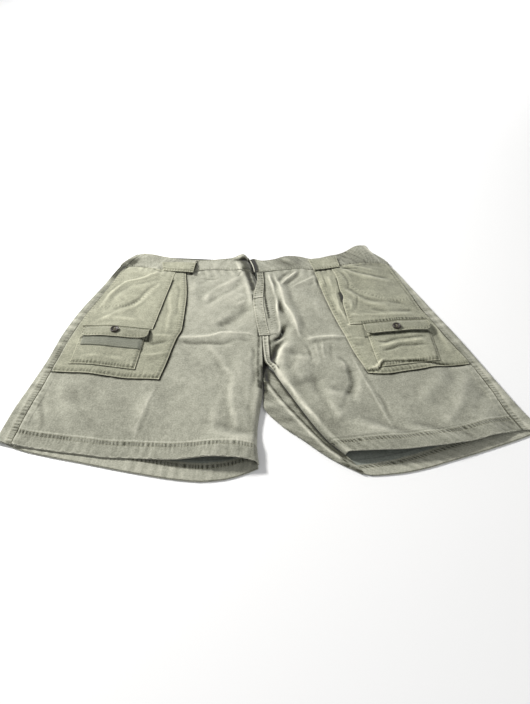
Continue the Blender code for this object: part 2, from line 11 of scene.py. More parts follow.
import bpy
import numpy as np
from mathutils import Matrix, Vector


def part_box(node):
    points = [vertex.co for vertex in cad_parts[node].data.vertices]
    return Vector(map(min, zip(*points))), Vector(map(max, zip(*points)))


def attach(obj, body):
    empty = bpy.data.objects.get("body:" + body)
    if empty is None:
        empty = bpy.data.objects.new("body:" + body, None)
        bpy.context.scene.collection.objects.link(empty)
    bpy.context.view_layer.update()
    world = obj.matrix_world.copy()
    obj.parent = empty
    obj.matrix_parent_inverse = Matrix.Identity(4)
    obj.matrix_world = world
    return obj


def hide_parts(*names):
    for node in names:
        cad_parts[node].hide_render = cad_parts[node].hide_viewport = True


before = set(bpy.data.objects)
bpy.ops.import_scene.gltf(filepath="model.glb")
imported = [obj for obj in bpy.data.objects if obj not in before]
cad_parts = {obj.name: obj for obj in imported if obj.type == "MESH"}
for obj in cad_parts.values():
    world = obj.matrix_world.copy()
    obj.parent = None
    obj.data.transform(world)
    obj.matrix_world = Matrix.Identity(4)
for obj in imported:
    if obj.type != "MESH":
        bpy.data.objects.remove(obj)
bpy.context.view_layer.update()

MM = 0.001
ORIGIN = np.array((-3.93, -6.75, 0.0))  # the middle of the whole garment on the floor
SIDES = ("left", "right")
OUTWARDS = {"left": -1.0, "right": 1.0}

# --- Sizes shared with the solids -----------------------------------------------------------------

CLOTH, BAND, TAPE = 1.2, 2.4, 1.0  # walls of one layer, of the folded waistband and of the tape
GAP, LAYER = 0.3, 0.5  # between two pieces at a seam, and between two that lie on each other
HEM_T = 0.936  # where the turned hem begins, as a share of the leg from waist seam to hem
HEM_RELIEF = 0.8  # how much thicker the turned hem is
FELL_WIDTH, FELL_RELIEF = 11.0, 0.6  # the flat-felled side seam
SIDE_LIFT, BODY_LIFT, LIFT_RUN = 5.4, 11.5, 75.0  # height at the side seam, inside it, and the run between
EDGE_ROLL, ROLL_FROM, ROLL_FULL = 8.0, 0.56, 0.64  # the inner edges of the legs roll down to the floor
INNER_FOLD = {"seam": 0.9, "leg": 1.9}  # radius of the fold at the inside of the right leg
STRIP_FROM, STRIP_FULL = 0.50, 0.58  # shares of the leg where the folded strip widens
BAND_RAISE = 0.6
NOTCH_FROM, NOTCH_TO, NOTCH_DEPTH = 120.0, 240.0, 24.0  # the left front stands back from the fly
PANEL_PUFF, HIP_PUFF, POCKET_PUFF = 1.8, 0.8, 2.4  # how far the pieces on the front puff up
PUFF_RUN = {"t": 24.0, "b": 6.0, "i": 6.0, "o": 6.0}  # over this distance from an edge
PANEL_TOP = {"inner": 186.0, "outer": 200.0}
BELOW_WAIST = {"panel": 1.5, "hip": 2.5}
SLIT_TOP, ABOVE_FLAP = 184.0, 1.0
FLAP_LIFT = {"left": 0.5, "right": 2.0}
FLAP_CLIMB, FLAP_CORNER, CORNER_CUT = 0.4, 0.13, 0.36
TUNNEL_ARCH, TUNNEL_FOOT, TUNNEL_ROOM = 5.4, 0.22, 0.8
LEAN_POWER, BAND_GAP = 1.5, 0.5
FLY_TOP, FLY_BOTTOM, FLY_WIDTH = 186.0, 0.0, 18.0
BUTTON_RADIUS = 7.5
BUTTON_AT = {"left": (-272, 3), "right": (215, 10)}
ON_FRONT = CLOTH + FELL_RELIEF + LAYER
ON_PANEL = ON_FRONT + PANEL_PUFF + CLOTH + LAYER
ON_POCKET = ON_PANEL + POCKET_PUFF + CLOTH + LAYER
ON_TAPE = ON_POCKET + TAPE + LAYER

OUTLINE = {
    "y": (262, 229, 148, 75, 9, -51, -106, -156, -214),
    "left": (-280, -303, -330, -355, -370, -377, -387, -397, -404),
    "right": (212, 238, 271, 298, 323, 343, 361, 378, 404),
    "seam_left": (12, 14, 16, 18, 18, 17, 21, 24, 26),
    "seam_right": (12, 12, 14, 20, 22, 19, 20, 26, 32),
}
INNER = {
    "t": (0.0, 0.2, 0.4, 0.55, 0.62, 0.70, 0.78, 0.86, 0.93, 1.0),
    "left_x": (-20, -20, -19, -17, -16.5, -17, -21, -24.5, -25, -22),
    "left_y": (190, 100, 10, -57, -89, -125, -161, -197, -229, -259),
    "right_x": (-20, -20, -19, -14, 3, 17, 35, 54, 75, 101),
    "right_y": (190, 100, 12, -58, -84, -111, -145, -180, -214, -243),
    "fold_x": (-19, -19, -18, -16, -15, -15, 8, 42, 82, 122),
    "fold_y": (195, 105, 20, -62, -105, -148, -183, -213, -247, -271),
}
WAIST_SEAM = {
    "x": (-307, -245, -214, -163, -113, -63, -19, 27, 58, 77, 134, 160, 243),
    "y": (222, 203, 196, 192, 197, 194, 189, 197, 203, 198, 206, 214, 224),
}
WAIST_TOP = {
    "x": (-280, -241, -207, -177, -146, -116, -87, -56, -30, -10, 8, 28, 59, 83, 122, 155, 186, 212),
    "y": (260, 249, 239, 232, 229, 232, 237, 241, 240, 229, 233, 240, 241, 234, 246, 257, 269, 269),
}
BACK_TOP = {"x": (-280, -146, -19, 90, 212), "y": (260, 250, 241, 247, 269)}
BAND_LEAN = {"x": (-306, -294, -35, -20, 229, 243), "by": (26, 28, -11, -10, -31, -32)}
FRONT_HEM = {
    "left": {
        "x": (-380, -341, -290, -240, -190, -143, -103, -46, -22),
        "y": (-224, -235, -244, -251, -254, -255, -254, -256, -259),
    },
    "right": {
        "x": (101, 142, 179, 227, 276, 315, 348, 374),
        "y": (-243, -243, -241, -235, -225, -213, -203, -196),
    },
}
BACK_HEM = {
    "left": {
        "x": (-404, -368, -322, -275, -235, -187, -135, -102, -70, -39, -20),
        "y": (-214, -231, -243, -253, -262, -272, -281, -284, -281, -271, -262),
    },
    "right": {
        "x": (122, 136, 172, 214, 242, 273, 303, 334, 361, 404),
        "y": (-271, -274, -271, -262, -253, -243, -233, -222, -212, -194),
    },
}
CARGO_INNER = {
    "left": {"y": (186, 94, 18, -10, -52, -102), "x": (-171, -160, -159, -166, -173, -182)},
    "right": {"y": (186, 77, 0, -42, -88), "x": (84, 105, 125, 137, 154)},
}
CARGO_BOTTOM = {
    "left": {"x": (-366, -312, -270, -229, -182), "y": (-80, -88, -96, -102, -104)},
    "right": {"x": (154, 172, 222, 273, 330), "y": (-90, -92, -84, -73, -64)},
}
SLIT = {
    "left": {"y": (184, 150, 83, 14), "x": (-190, -193, -201, -209)},
    "right": {"y": (184, 150, 89, 13), "x": (119, 127, 130, 137)},
}
FLY_LEFT = {"y": (192, 160, 100, 48, 2), "x": (-34, -32, -35, -30, -23)}
# Corners of the pieces on the front: outer top, inner top, outer bottom and inner bottom
POCKET = {
    "left": ((-333, 10), (-219, -6), (-335, -67), (-223, -86)),
    "right": ((277, 16), (164, 2), (275, -63), (172, -81)),
}
FLAP = {
    "left": ((-329, 26), (-213, 10), (-331, -7), (-213, -18)),
    "right": ((274, 42), (159, 24), (277, 8), (160, -7)),
}
TUNNEL = {
    "left": ((-216, 236), (-145, 225), (-209, 190), (-149, 185)),
    "right": ((133, 242), (74, 230), (136, 199), (84, 190)),
}
POCKET_TAPE = ((-331, -1), (-219, -17), (-331, -26), (-219, -43))

# The large folds that the solids have too, as width, height and line in plan. A negative height is a
# trough.
FOLDS = (
    (32, 7, ((-95, -290), (-68, -195))),
    (24, 5, ((-45, -290), (-45, -205))),
    (44, 7, ((130, -275), (165, -190))),
    (40, 5, ((215, -265), (235, -195))),
    (12, 5, ((7, 177), (19, 110), (36, 52), (49, -10))),
    (10, 2, ((49, -10), (65, -7), (91, -5), (122, -5))),
    (11, 2, ((-165, -4), (-148, -2), (-111, -4), (-49, 8))),
    (11, 3.5, ((44, -8), (17, -35), (13, -56), (14, -84), (30, -120))),
    (9, -5, ((17, 40), (18, 10), (13, -12), (3, -34), (0, -52), (-1, -75))),
    (22, 3.5, ((50, -40), (42, -75), (55, -110))),
    (12, -3, ((119, -66), (125, -91), (124, -113), (112, -145))),
    (18, 3, ((100, -120), (96, -160), (104, -190))),
    (12, 2, ((-188, -120), (-198, -168), (-208, -225))),
    (26, -2, ((-40, 150), (-75, 70), (-110, 40))),
    (16, 8, ((-58, 262), (-58, 228))),
    (18, 3, ((52, 262), (30, 215))),
)
# The corners of the waist stand up, in the shells alone: outward x where the rise starts, is full, starts
# to fall and ends, the y where it starts, and its height
CORNERS = (
    {"side": "right", "x": (125, 184, 194, 212), "foot": 205, "height": 16},
    {"side": "left", "x": (205, 242, 258, 278), "foot": 215, "height": 5},
)
CORNER_TOP, CORNER_LEAN = 262.0, 0.7  # the y where it is full, and how far it leans inward below
TAPER = 0.25  # share of a fold's line over which it rises from nothing at each end

# --- Finer creases, wear, painted shade and sewing ------------------------------------------------

# Each crease as its kind, width, height and line in plan. A ridge is sharp, a pressed one is sharp and
# straight, a soft one is rounded, a ladder is a row of puckers along stitches, and a negative height is a
# trough.
CREASES = (
    # right front, from the waist to the crotch
    ("ridge", 2.4, 1.2, ((5, 190), (8, 165), (12, 141), (19, 110), (27, 80), (36, 52), (46, 6), (50, -12))),
    ("soft", 11.0, -1.5, ((7, 177), (19, 110), (36, 52), (49, -10))),
    ("soft", 6.0, -2.0, ((0, 170), (8, 120), (17, 80), (26, 45), (34, 12))),
    ("soft", 7.0, -1.0, ((24, 175), (33, 120), (46, 70), (58, 10))),
    ("ridge", 2.6, 1.1, ((49, -10), (65, -6), (82, -3), (117, -4), (151, -2))),
    ("soft", 5.0, -0.8, ((56, -18), (75, -12), (100, -11), (130, -12))),
    ("ridge", 2.4, 2.3, ((-6, 185), (-2, 158), (5, 122), (9, 90), (12, 62), (14, 27), (10, 3), (-2, -8))),
    ("ridge", 2.2, 1.2, ((-2, -5), (9, 2), (18, 10), (24, 16))),
    ("ridge", 3.2, 2.2, ((-8, -27), (4, -19), (15, -7), (26, 3))),
    ("soft", 4.5, -3.0, ((24, 30), (14, 8), (4, -8), (-6, -17))),
    ("soft", 4.5, -2.4, ((12, -22), (4, -32), (-1, -50), (-6, -66))),
    ("ridge", 3.4, 1.5, ((30, -14), (14, -36), (8, -55), (6, -74), (12, -96), (24, -118), (41, -142),
     (58, -173), (75, -201))),
    ("soft", 7.0, -0.7, ((44, -30), (30, -48), (26, -66), (29, -90), (42, -120), (62, -155))),
    ("ridge", 2.6, 1.9, ((12, 140), (20, 155), (34, 173), (56, 195))),
    ("ridge", 2.8, 1.5, ((36, 135), (52, 150), (68, 164), (92, 180))),
    ("soft", 4.0, -2.2, ((8, 152), (20, 172), (37, 195))),
    ("soft", 5.0, -1.5, ((24, 146), (44, 172), (60, 192))),
    ("soft", 6.0, -0.8, ((60, 140), (86, 160), (100, 176))),
    ("soft", 9.0, 0.7, ((70, 120), (84, 80), (104, 30))),
    # right front, below the cross crease
    ("ridge", 2.8, 0.9, ((84, -6), (86, -28), (85, -50), (82, -70))),
    ("ridge", 3.4, 0.8, ((70, -10), (75, -34), (74, -60), (68, -84))),
    ("soft", 3.0, -0.9, ((55, -16), (61, -39), (61, -59), (56, -74))),
    ("soft", 4.2, -0.7, ((98, -12), (100, -40), (94, -66))),
    ("soft", 5.0, -0.8, ((22, -85), (34, -70), (38, -50), (34, -30))),
    ("soft", 4.6, -0.7, ((104, -44), (118, -60), (126, -80), (127, -98), (122, -120), (110, -145),
     (102, -178))),
    ("ridge", 5.0, 0.9, ((110, -56), (118, -76), (118, -98), (112, -122), (100, -148))),
    ("soft", 6.0, 0.9, ((136, -78), (138, -104), (132, -132), (122, -160))),
    ("pressed", 1.5, 0.55, ((131, -45), (144, -96), (157, -142), (170, -186), (178, -214))),
    ("soft", 3.6, -0.45, ((136, -48), (151, -99), (166, -145), (180, -200))),
    ("soft", 10.0, 1.0, ((92, -80), (84, -120), (88, -165), (104, -200))),
    ("soft", 8.0, -0.9, ((66, -80), (66, -120), (82, -160), (96, -195))),
    ("soft", 11.0, -1.6, ((300, -66), (287, -92), (270, -128), (240, -165))),
    ("soft", 10.0, 1.6, ((320, -85), (300, -120), (276, -160), (250, -196))),
    ("soft", 9.0, -1.2, ((336, -110), (318, -145), (300, -178))),
    ("soft", 12.0, 0.9, ((262, -90), (244, -125), (212, -160))),
    ("soft", 12.0, -0.7, ((232, -96), (214, -130), (190, -160))),
    # left front
    ("ridge", 2.6, 1.3, ((-170, -3), (-150, -2), (-134, -4), (-104, 0), (-86, 6), (-70, 7), (-39, 7),
     (-24, -2))),
    ("soft", 6.0, -1.3, ((-172, -12), (-148, -14), (-124, -17), (-86, -18), (-56, -8), (-28, -12))),
    ("soft", 12.0, -1.8, ((-100, 14), (-84, 22), (-66, 46), (-46, 90))),
    ("soft", 11.0, 1.1, ((-118, 22), (-96, 45), (-76, 80), (-54, 130))),
    ("soft", 6.0, 1.7, ((-132, 94), (-109, 131), (-76, 159), (-55, 184))),
    ("soft", 6.5, -1.1, ((-124, 84), (-98, 116), (-72, 142), (-54, 162))),
    ("soft", 7.0, -0.8, ((-150, 140), (-130, 160), (-106, 185))),
    ("soft", 9.0, -1.5, ((-106, 22), (-76, 43), (-54, 71), (-41, 88))),
    ("soft", 5.0, 1.2, ((-73, 85), (-56, 94), (-40, 102))),
    ("soft", 6.0, 0.9, ((-89, -93), (-78, -82), (-65, -104), (-67, -146), (-58, -185))),
    ("soft", 7.0, -0.8, ((-44, -110), (-46, -140), (-38, -176))),
    ("soft", 5.5, 1.5, ((-74, 232), (-62, 205), (-52, 170), (-41, 113), (-38, 80))),
    ("soft", 4.6, -2.0, ((-60, 215), (-48, 180), (-38, 140), (-36, 110))),
    ("soft", 3.4, 1.4, ((-46, 205), (-40, 178), (-34, 150))),
    ("soft", 9.0, 0.7, ((-154, 170), (-148, 110), (-150, 40))),
    ("soft", 8.0, 0.9, ((-124, -24), (-100, -38), (-82, -62), (-74, -96))),
    ("soft", 10.0, 1.0, ((-62, -30), (-56, -80), (-62, -140), (-60, -190))),
    ("soft", 10.0, -0.8, ((-96, -50), (-82, -95), (-92, -150))),
    ("soft", 12.0, -0.6, ((-140, -40), (-134, -90), (-150, -140))),
    ("soft", 5.0, -1.0, ((-34, -20), (-30, -80), (-36, -150), (-34, -215))),
    ("pressed", 1.5, 0.45, ((-183, -105), (-191, -145), (-199, -185), (-206, -222))),
    ("soft", 3.4, -0.4, ((-177, -105), (-186, -145), (-193, -185), (-198, -222))),
    ("soft", 6.0, -1.0, ((-362, -118), (-356, -154), (-346, -180), (-344, -206))),
    ("soft", 10.0, 1.0, ((-340, -100), (-332, -140), (-312, -178), (-300, -214))),
    ("soft", 9.0, -0.9, ((-312, -104), (-306, -140), (-282, -175), (-262, -205))),
    ("soft", 11.0, 0.7, ((-282, -104), (-268, -140), (-240, -172))),
    ("soft", 7.0, 1.1, ((-80, -120), (-88, -165), (-92, -215))),
    ("soft", 6.0, -0.8, ((-66, -150), (-70, -214))),
    ("soft", 5.0, 0.9, ((-52, -160), (-55, -214))),
    # left hip and cargo panel
    ("soft", 4.4, 1.3, ((-316, 70), (-310, 98), (-302, 125), (-279, 152), (-246, 166), (-215, 182))),
    ("soft", 6.0, -0.8, ((-304, 60), (-298, 100), (-276, 134), (-240, 150), (-210, 165))),
    ("soft", 5.0, 0.9, ((-310, 38), (-276, 60), (-250, 78), (-226, 117), (-214, 150))),
    ("soft", 4.6, -0.9, ((-300, 62), (-262, 82), (-243, 107), (-226, 145))),
    ("soft", 6.0, 0.8, ((-318, 44), (-280, 42), (-232, 30))),
    ("soft", 6.5, -1.6, ((-308, 206), (-288, 213), (-262, 208), (-240, 198))),
    ("soft", 7.0, 0.9, ((-290, 190), (-262, 184), (-232, 172))),
    ("soft", 6.0, -1.6, ((-222, -30), (-197, -20), (-168, -13))),
    ("ridge", 3.0, 1.1, ((-222, -50), (-205, -51), (-186, -48), (-166, -44))),
    ("ridge", 3.0, 1.0, ((-218, -8), (-196, -4), (-164, -2))),
    ("soft", 5.0, 0.8, ((-196, 130), (-188, 80), (-184, 30), (-190, -10))),
    ("soft", 4.0, -0.7, ((-180, 150), (-174, 90), (-172, 40))),
    ("soft", 5.0, 0.8, ((-318, -52), (-280, -58), (-236, -66))),
    # right hip, cargo panel and pocket
    ("soft", 5.0, -1.2, ((136, 214), (148, 196), (166, 182), (192, 171), (238, 168))),
    ("soft", 6.5, 1.2, ((136, 198), (160, 176), (196, 160), (244, 154))),
    ("soft", 5.0, 0.9, ((150, 212), (176, 196), (214, 188))),
    ("soft", 5.0, -1.2, ((134, 150), (150, 122), (172, 100), (200, 90), (250, 88))),
    ("soft", 5.0, 1.0, ((136, 130), (152, 106), (178, 84), (216, 76))),
    ("soft", 4.6, 1.1, ((132, 98), (142, 84), (150, 62))),
    ("soft", 5.0, -1.0, ((170, 70), (210, 63), (270, 72))),
    ("soft", 4.0, 0.9, ((150, 52), (200, 50), (262, 60))),
    ("soft", 6.0, -0.9, ((240, 130), (262, 112), (280, 84))),
    ("soft", 4.0, 0.9, ((112, 176), (114, 140), (118, 96), (122, 50))),
    ("soft", 4.5, -0.6, ((100, 150), (106, 100), (118, 40))),
    ("soft", 4.0, -1.3, ((176, -48), (194, -40), (222, -30), (270, -27))),
    ("soft", 3.6, -1.2, ((172, -16), (190, -20), (228, -11), (272, -6))),
    ("ridge", 3.0, 1.2, ((172, -34), (200, -28), (240, -19), (272, -16))),
    ("ridge", 2.8, 1.0, ((128, -8), (150, -11), (168, -7))),
    ("soft", 4.0, -0.8, ((134, -20), (150, -26), (166, -24))),
    ("soft", 2.6, -1.7, ((146, -70), (153, -86), (167, -85), (184, -70), (216, -69), (262, -69), (300, -67),
     (326, -65))),
    ("ridge", 2.8, 1.9, ((154, -72), (163, -80), (174, -72), (190, -60))),
    ("soft", 6.0, 1.3, ((284, 40), (294, 10), (298, -20), (298, -54))),
    ("soft", 5.0, -1.0, ((300, 34), (310, 0), (318, -40))),
    # small puckers around the belt tunnels and the open mouth of the right pocket
    ("soft", 2.4, -1.0, ((136, 190), (150, 197), (168, 194), (184, 198))),
    ("ridge", 2.0, 0.9, ((134, 200), (155, 206), (179, 214), (196, 224))),
    ("soft", 2.6, -0.9, ((130, 186), (141, 168), (145, 146), (141, 124))),
    ("ridge", 2.0, 0.8, ((134, 188), (148, 172), (153, 150))),
    ("ridge", 2.0, 0.9, ((123, 140), (122, 110), (122, 82), (128, 50), (133, 30))),
    ("ridge", 2.0, 0.9, ((138, 98), (146, 86), (144, 68), (136, 58))),
    ("soft", 2.4, -0.9, ((146, 112), (158, 98), (155, 74), (148, 60))),
    ("ridge", 2.0, 0.8, ((134, 42), (144, 51), (158, 47), (172, 52))),
    ("soft", 2.2, -0.7, ((89, 186), (89, 150), (93, 128))),
    ("ridge", 1.8, 0.6, ((82, 184), (82, 158), (86, 138))),
    ("soft", 2.2, -0.6, ((100, 182), (103, 150), (105, 122))),
    ("soft", 2.4, -1.0, ((-70, 168), (-61, 184), (-55, 200))),
    ("soft", 3.0, 0.8, ((-163, 168), (-151, 182), (-129, 194))),
    ("soft", 3.0, -0.7, ((-155, 160), (-136, 167), (-114, 164), (-97, 171))),
    ("soft", 2.6, -0.9, ((-238, 196), (-222, 186), (-205, 182))),
    ("ridge", 2.2, 0.8, ((-262, 203), (-240, 204), (-220, 196))),
    ("ridge", 2.0, 0.7, ((-296, 200), (-270, 206), (-246, 202))),
    # stitched lines
    ("ladder", 1.9, 0.4, ((-12, 120), (-10, 91), (-5, 58), (0, 27), (2, 11))),
    ("ladder", 2.2, 0.45, ((-4, 110), (-1, 88), (4, 50), (7, 22))),
    ("ladder", 2.4, 0.3, ((-211, 182), (-227, 119), (-245, 92), (-272, 76), (-345, 78))),
    ("ladder", 2.4, 0.3, ((135, 182), (154, 134), (186, 107), (222, 95), (285, 104))),
)
# Round patches that are paler or darker: x, y, radius and tone
TONE_PATCHES = (
    (-85, 75, 85, 0.16), (-60, -130, 60, 0.10), (-100, 215, 50, 0.12), (-61, 139, 30, 0.15),
    (-285, -145, 90, -0.12), (-280, -50, 60, -0.14), (270, -120, 90, -0.05), (140, -130, 60, -0.08),
    (170, 245, 60, -0.28), (200, 130, 80, -0.10), (220, -20, 60, -0.08), (60, -225, 45, -0.35),
    (15, -120, 45, -0.12), (-95, 40, 28, -0.12), (-60, 62, 24, -0.14), (30, 226, 30, -0.32),
    (-186, -10, 36, -0.12),
)
WEAR_AND_SHADE_SCALES = ((1.8, 0.4), (3.5, 0.48), (12.0, 0.07))  # radius around a place, and how much it counts
CREASE_ROUND = 1.1  # how blunt the top of a sharp ridge is
CREASE_TAPER = 22.0  # over this length a crease rises at each end
CREASE_REACH = 4  # widths to each side over which a crease is drawn
LADDER_PITCH = 6.4  # between two puckers of a stitched line
LADDER_DROP = 0.35  # how far the row of puckers lies below the cloth beside it, as a share
# Random undulation of washed cotton over the whole front
ROUGHNESS = (
    {"length": 75, "height": 0.50, "seed": 11},
    {"length": 34, "height": 0.10, "seed": 12},
    {"length": 15, "height": 0.04, "seed": 13},
)
# Fine sharp wrinkles, in patches: the "where" is the length of a patch
CRACKLE = (
    {"length": 26, "where": 55, "height": 0.27, "sharp": 0.20, "seed": 15},
    {"length": 15, "where": 38, "height": 0.19, "sharp": 0.18, "seed": 18},
    {"length": 9, "where": 46, "height": 0.10, "sharp": 0.25, "seed": 20},
)
FIELD_X, FIELD_Y = np.arange(-430.0, 431.0), np.arange(-310.0, 301.0)  # the grid of creases and wear
WANDERING = {"length": 60, "by": 1.1, "seeds": (31, 32)}  # how creases stray from their lines
UNEVEN = {"length": 60, "by": 0.2, "seed": 33}  # and how their height varies

STITCH_PITCH, STITCH_LENGTH, STITCH_WIDTH = 3.3, 2.5, 0.62
STITCH_RISE, STITCH_SINK = 0.14, 0.15  # of its middle above the cloth, and of its ends into it
STITCH_SHOULDERS = (0.28, 0.72)  # shares of its length between which it is thick
EDGE_BULGE = 0.42  # how far the middle of a cloth edge stands out beyond its corners, as a share of the wall
EDGE_ANGLES = (50, 90, 130)  # degrees round the edge at which it has vertices
WEAVE_PITCH = 0.9  # from one rib of the twill to the next

# --- Details of the shells ------------------------------------------------------------------------

LEG = 480.0  # from waist seam to hem
# How a leg is divided: rows, and columns of the front, the back and its parts
LEG_ROWS, FRONT_COLUMNS, BACK_COLUMNS = 296, 226, 190
EDGE_COLUMNS, STRIP_COLUMNS, TURN_STEPS, OVER_COLUMNS = 10, 24, 10, 18
FRONT_WIDTH, BACK_WIDTH = 350, 360
ROLL_ANGLE = 81  # degrees through which the inner edge of a front rolls
# The left front settles by its hem: height of the hem, how far it moves up as it sinks, the share of the leg
# where it starts and the run to the full, outward x where it starts and the run, and the run at the seam
SETTLED_AT, SETTLED_BACK = 4.2, 0.68
SETTLES = {"from": 0.84, "over": 0.13, "x": 120, "x_run": 90, "seam_run": 25}
HEM_PUCKERS, HEM_SEWN, HEM_LINE = (20.5, 27.0), (20.8, 26.8), 29.2  # from the hem's edge
SIDE_PUCKERS, SIDE_SEWN = (1.3, 9.2), (1.4, 9.0)
CROTCH_PUCKERS = (4.0, 8.5)
WRAP_SEEN = 30  # from its side seam a back panel lies on top
LADDER_FROM = {"left": 30.0, "right": -10.0}  # below this the puckers of the side seam are at their full
FLY_DIP = {"depth": 8.0, "run": 13.0, "from": 105.0, "full": 165.0}
FLY_END = {"reach": 15.0, "over": 40.0, "drop": 9.0, "drop_over": 16.0}
BAND_PUCKERS, BAND_SEWN = (1.2, 4.6), (("t", 2.6), ("b", 3.0))
ELASTIC_FROM = {"left": 195.0, "right": 115.0}  # outward x from which the band is drawn up
# Where the tunnels lie as seen, and how much of their arch is left
TUNNEL_SEEN = {
    "left": ((-222, 221), (-151, 217), (-215, 187), (-155, 181)),
    "right": ((133, 240), (74, 230), (136, 199), (84, 190)),
}
ARCH_LEFT = {"left": 0.9, "right": 0.45}
SLIT_GAPE = {"y": 103.0, "length": 12.0, "width": 4.2}  # where the right hand pocket's mouth stands open
TAPE_SHARE = 0.96  # of the pocket's width that the tape covers
TAPE_RIBS = 4.2  # from one rib of the tape to the next
PLACKET_BAR = 106.0  # y of the sewn bar across the placket
PLACKET_DRAWN_IN = 4.2  # how far its top is drawn in on the left
INSEAM = ((-16, -92), (-9, -110), (2, -130), (18, -155), (37, -182), (55, -207), (74, -231), (92, -248))
CROTCH_AT = 0.60  # where the crotch is, as a share of the leg
# Pale ridges and dark lines of the doubled crotch seam: distance from the edge, width and strength. The
# ridges are partly wear and partly painted highlight; the dark lines are painted shade in its grooves.
CROTCH_LINES = ((0.0, 1.4, -1.4), (2.4, 1.1, 0.65), (5.0, 1.0, -0.6), (9.6, 1.2, 0.65), (12.6, 1.4, -1.3))
# Painted shade that lies over several pieces
CROTCH_SHADOW = ((-18, -74), (-16, -88), (-17, -102), (-20, -118))
FLY_SHADOW = ((-59, 238), (-54, 216), (-47, 191), (-40, 160), (-35, 138))
WAIST_SHADE = ((-314, 190), (-304, 207), (-292, 223), (-280, 236))

# --- Curves and heights ---------------------------------------------------------------------------


def smoothstep(x):
    """0 up to 0, 1 from 1 on, and smooth between."""
    x = np.clip(x, 0.0, 1.0)
    return x * x * (3 - 2 * x)


def between(start, end, share):
    return start + (end - start) * share


def follow(table, along, value, at):
    """The value column at positions of the along column, on a smooth curve with no overshoot."""
    xs, ys = np.array(table[along], float), np.array(table[value], float)
    if xs[0] > xs[-1]:
        xs, ys = xs[::-1], ys[::-1]
    run = np.diff(xs)
    rise = np.diff(ys) / run
    slope = np.concatenate([rise[:1], np.zeros(len(xs) - 2), rise[-1:]])
    for k in range(1, len(xs) - 1):
        if rise[k - 1] * rise[k] > 0:
            before, after = 2 * run[k] + run[k - 1], run[k] + 2 * run[k - 1]
            slope[k] = (before + after) / (before / rise[k - 1] + after / rise[k])
    at = np.clip(np.asarray(at, float), xs[0], xs[-1])
    i = np.clip(np.searchsorted(xs, at) - 1, 0, len(xs) - 2)
    u = (at - xs[i]) / run[i]
    return (
        ys[i] * (1 + 2 * u) * (1 - u) ** 2
        + slope[i] * run[i] * u * (1 - u) ** 2
        + ys[i + 1] * u * u * (3 - 2 * u)
        + slope[i + 1] * run[i] * u * u * (u - 1)
    )


def side_x(side, y):
    """The outline of the garment."""
    return follow(OUTLINE, "y", side, y)


def seam_x(side, y):
    """The side seam, which lies on the front."""
    return side_x(side, y) - OUTWARDS[side] * follow(OUTLINE, "y", "seam_" + side, y)


def edge_of(table, along):
    """The smooth curve of a table as a line in plan."""
    at = np.linspace(table[along][0], table[along][-1], 30)
    if along == "y":
        return np.stack([follow(table, "y", "x", at), at], axis=1)
    return np.stack([at, follow(table, "x", "y", at)], axis=1)


def bell(off, width):
    """1 in the middle, and falling to nothing a few widths off."""
    return np.exp(-((off / width) ** 2))


def nearest_on(line, x, y):
    """Distance of points in plan from a line, and their place along it from 0 to 1."""
    line = np.array(line, float)
    lengths = np.hypot(*np.diff(line, axis=0).T)
    starts = np.concatenate([[0], np.cumsum(lengths)])
    nearest = np.full(np.shape(x), 1e9)
    place = np.zeros(np.shape(x))
    for (x0, y0), (x1, y1), start, length in zip(line, line[1:], starts, lengths):
        along = np.clip(((x - x0) * (x1 - x0) + (y - y0) * (y1 - y0)) / length**2, 0, 1)
        off = np.hypot(x - between(x0, x1, along), y - between(y0, y1, along))
        closer = off < nearest
        place = np.where(closer, (start + along * length) / starts[-1], place)
        nearest = np.where(closer, off, nearest)
    return nearest, place


def tapered(place, share=TAPER):
    """Rises from nothing at each end of a line over a share of it."""
    return smoothstep(place / share) * smoothstep((1 - place) / share)


def rounded_line(line, steps=24):
    """The same line with its corners rounded."""
    line = np.array(line, float)
    starts = np.concatenate([[0], np.cumsum(np.hypot(*np.diff(line, axis=0).T))])
    at = np.linspace(0, starts[-1], steps)
    table = {"s": starts, "x": line[:, 0], "y": line[:, 1]}
    return np.stack([follow(table, "s", "x", at), follow(table, "s", "y", at)], axis=1)


def base_height(x, y):
    """Height of the middle of the front wall over points of the floor, without the creases."""
    from_seam = np.minimum(x - seam_x("left", y), seam_x("right", y) - x)
    z = between(SIDE_LIFT, BODY_LIFT, smoothstep(from_seam / LIFT_RUN))
    for width, height, line in FOLDS:
        off, place = nearest_on(line, x, y)
        z = z + height * tapered(place) * bell(off, width)
    return z + corner_rise(x, y)


def corner_rise(x, y):
    """How far the corners of the waist stand up."""
    total = 0.0
    for corner in CORNERS:
        starts, full, falls, ends = corner["x"]
        foot = corner["foot"]
        across = OUTWARDS[corner["side"]] * x - CORNER_LEAN * np.maximum(CORNER_TOP - y, 0)
        rise = smoothstep((across - starts) / (full - starts)) * smoothstep((ends - across) / (ends - falls))
        total = total + corner["height"] * rise * smoothstep((y - foot) / (CORNER_TOP - foot))
    return total


def rough(length, seed):
    """Random relief on the field whose ups and downs are about this length, with a deviation of 1."""
    noise = np.random.RandomState(seed).standard_normal((FIELD_Y.size, FIELD_X.size))
    per_mm = np.hypot(np.fft.fftfreq(FIELD_Y.size)[:, None], np.fft.fftfreq(FIELD_X.size)[None, :])
    band = bell(per_mm * length - 1, 0.45)
    made = np.fft.ifft2(np.fft.fft2(noise) * band).real
    return made / made.std()


def wander(at, seed):
    """A smooth random curve from -1 to 1, with a new value at each whole number."""
    values = np.random.RandomState(seed).uniform(-1, 1, 1024)
    at = np.asarray(at, float)
    low = np.floor(at).astype(int)
    return between(values[low % 1024], values[(low + 1) % 1024], smoothstep(at - low))


def blurred(values, radius):
    per_mm = np.hypot(np.fft.fftfreq(FIELD_Y.size)[:, None], np.fft.fftfreq(FIELD_X.size)[None, :])
    return np.fft.ifft2(np.fft.fft2(values) * np.exp(-2 * (math.pi * radius * per_mm) ** 2)).real


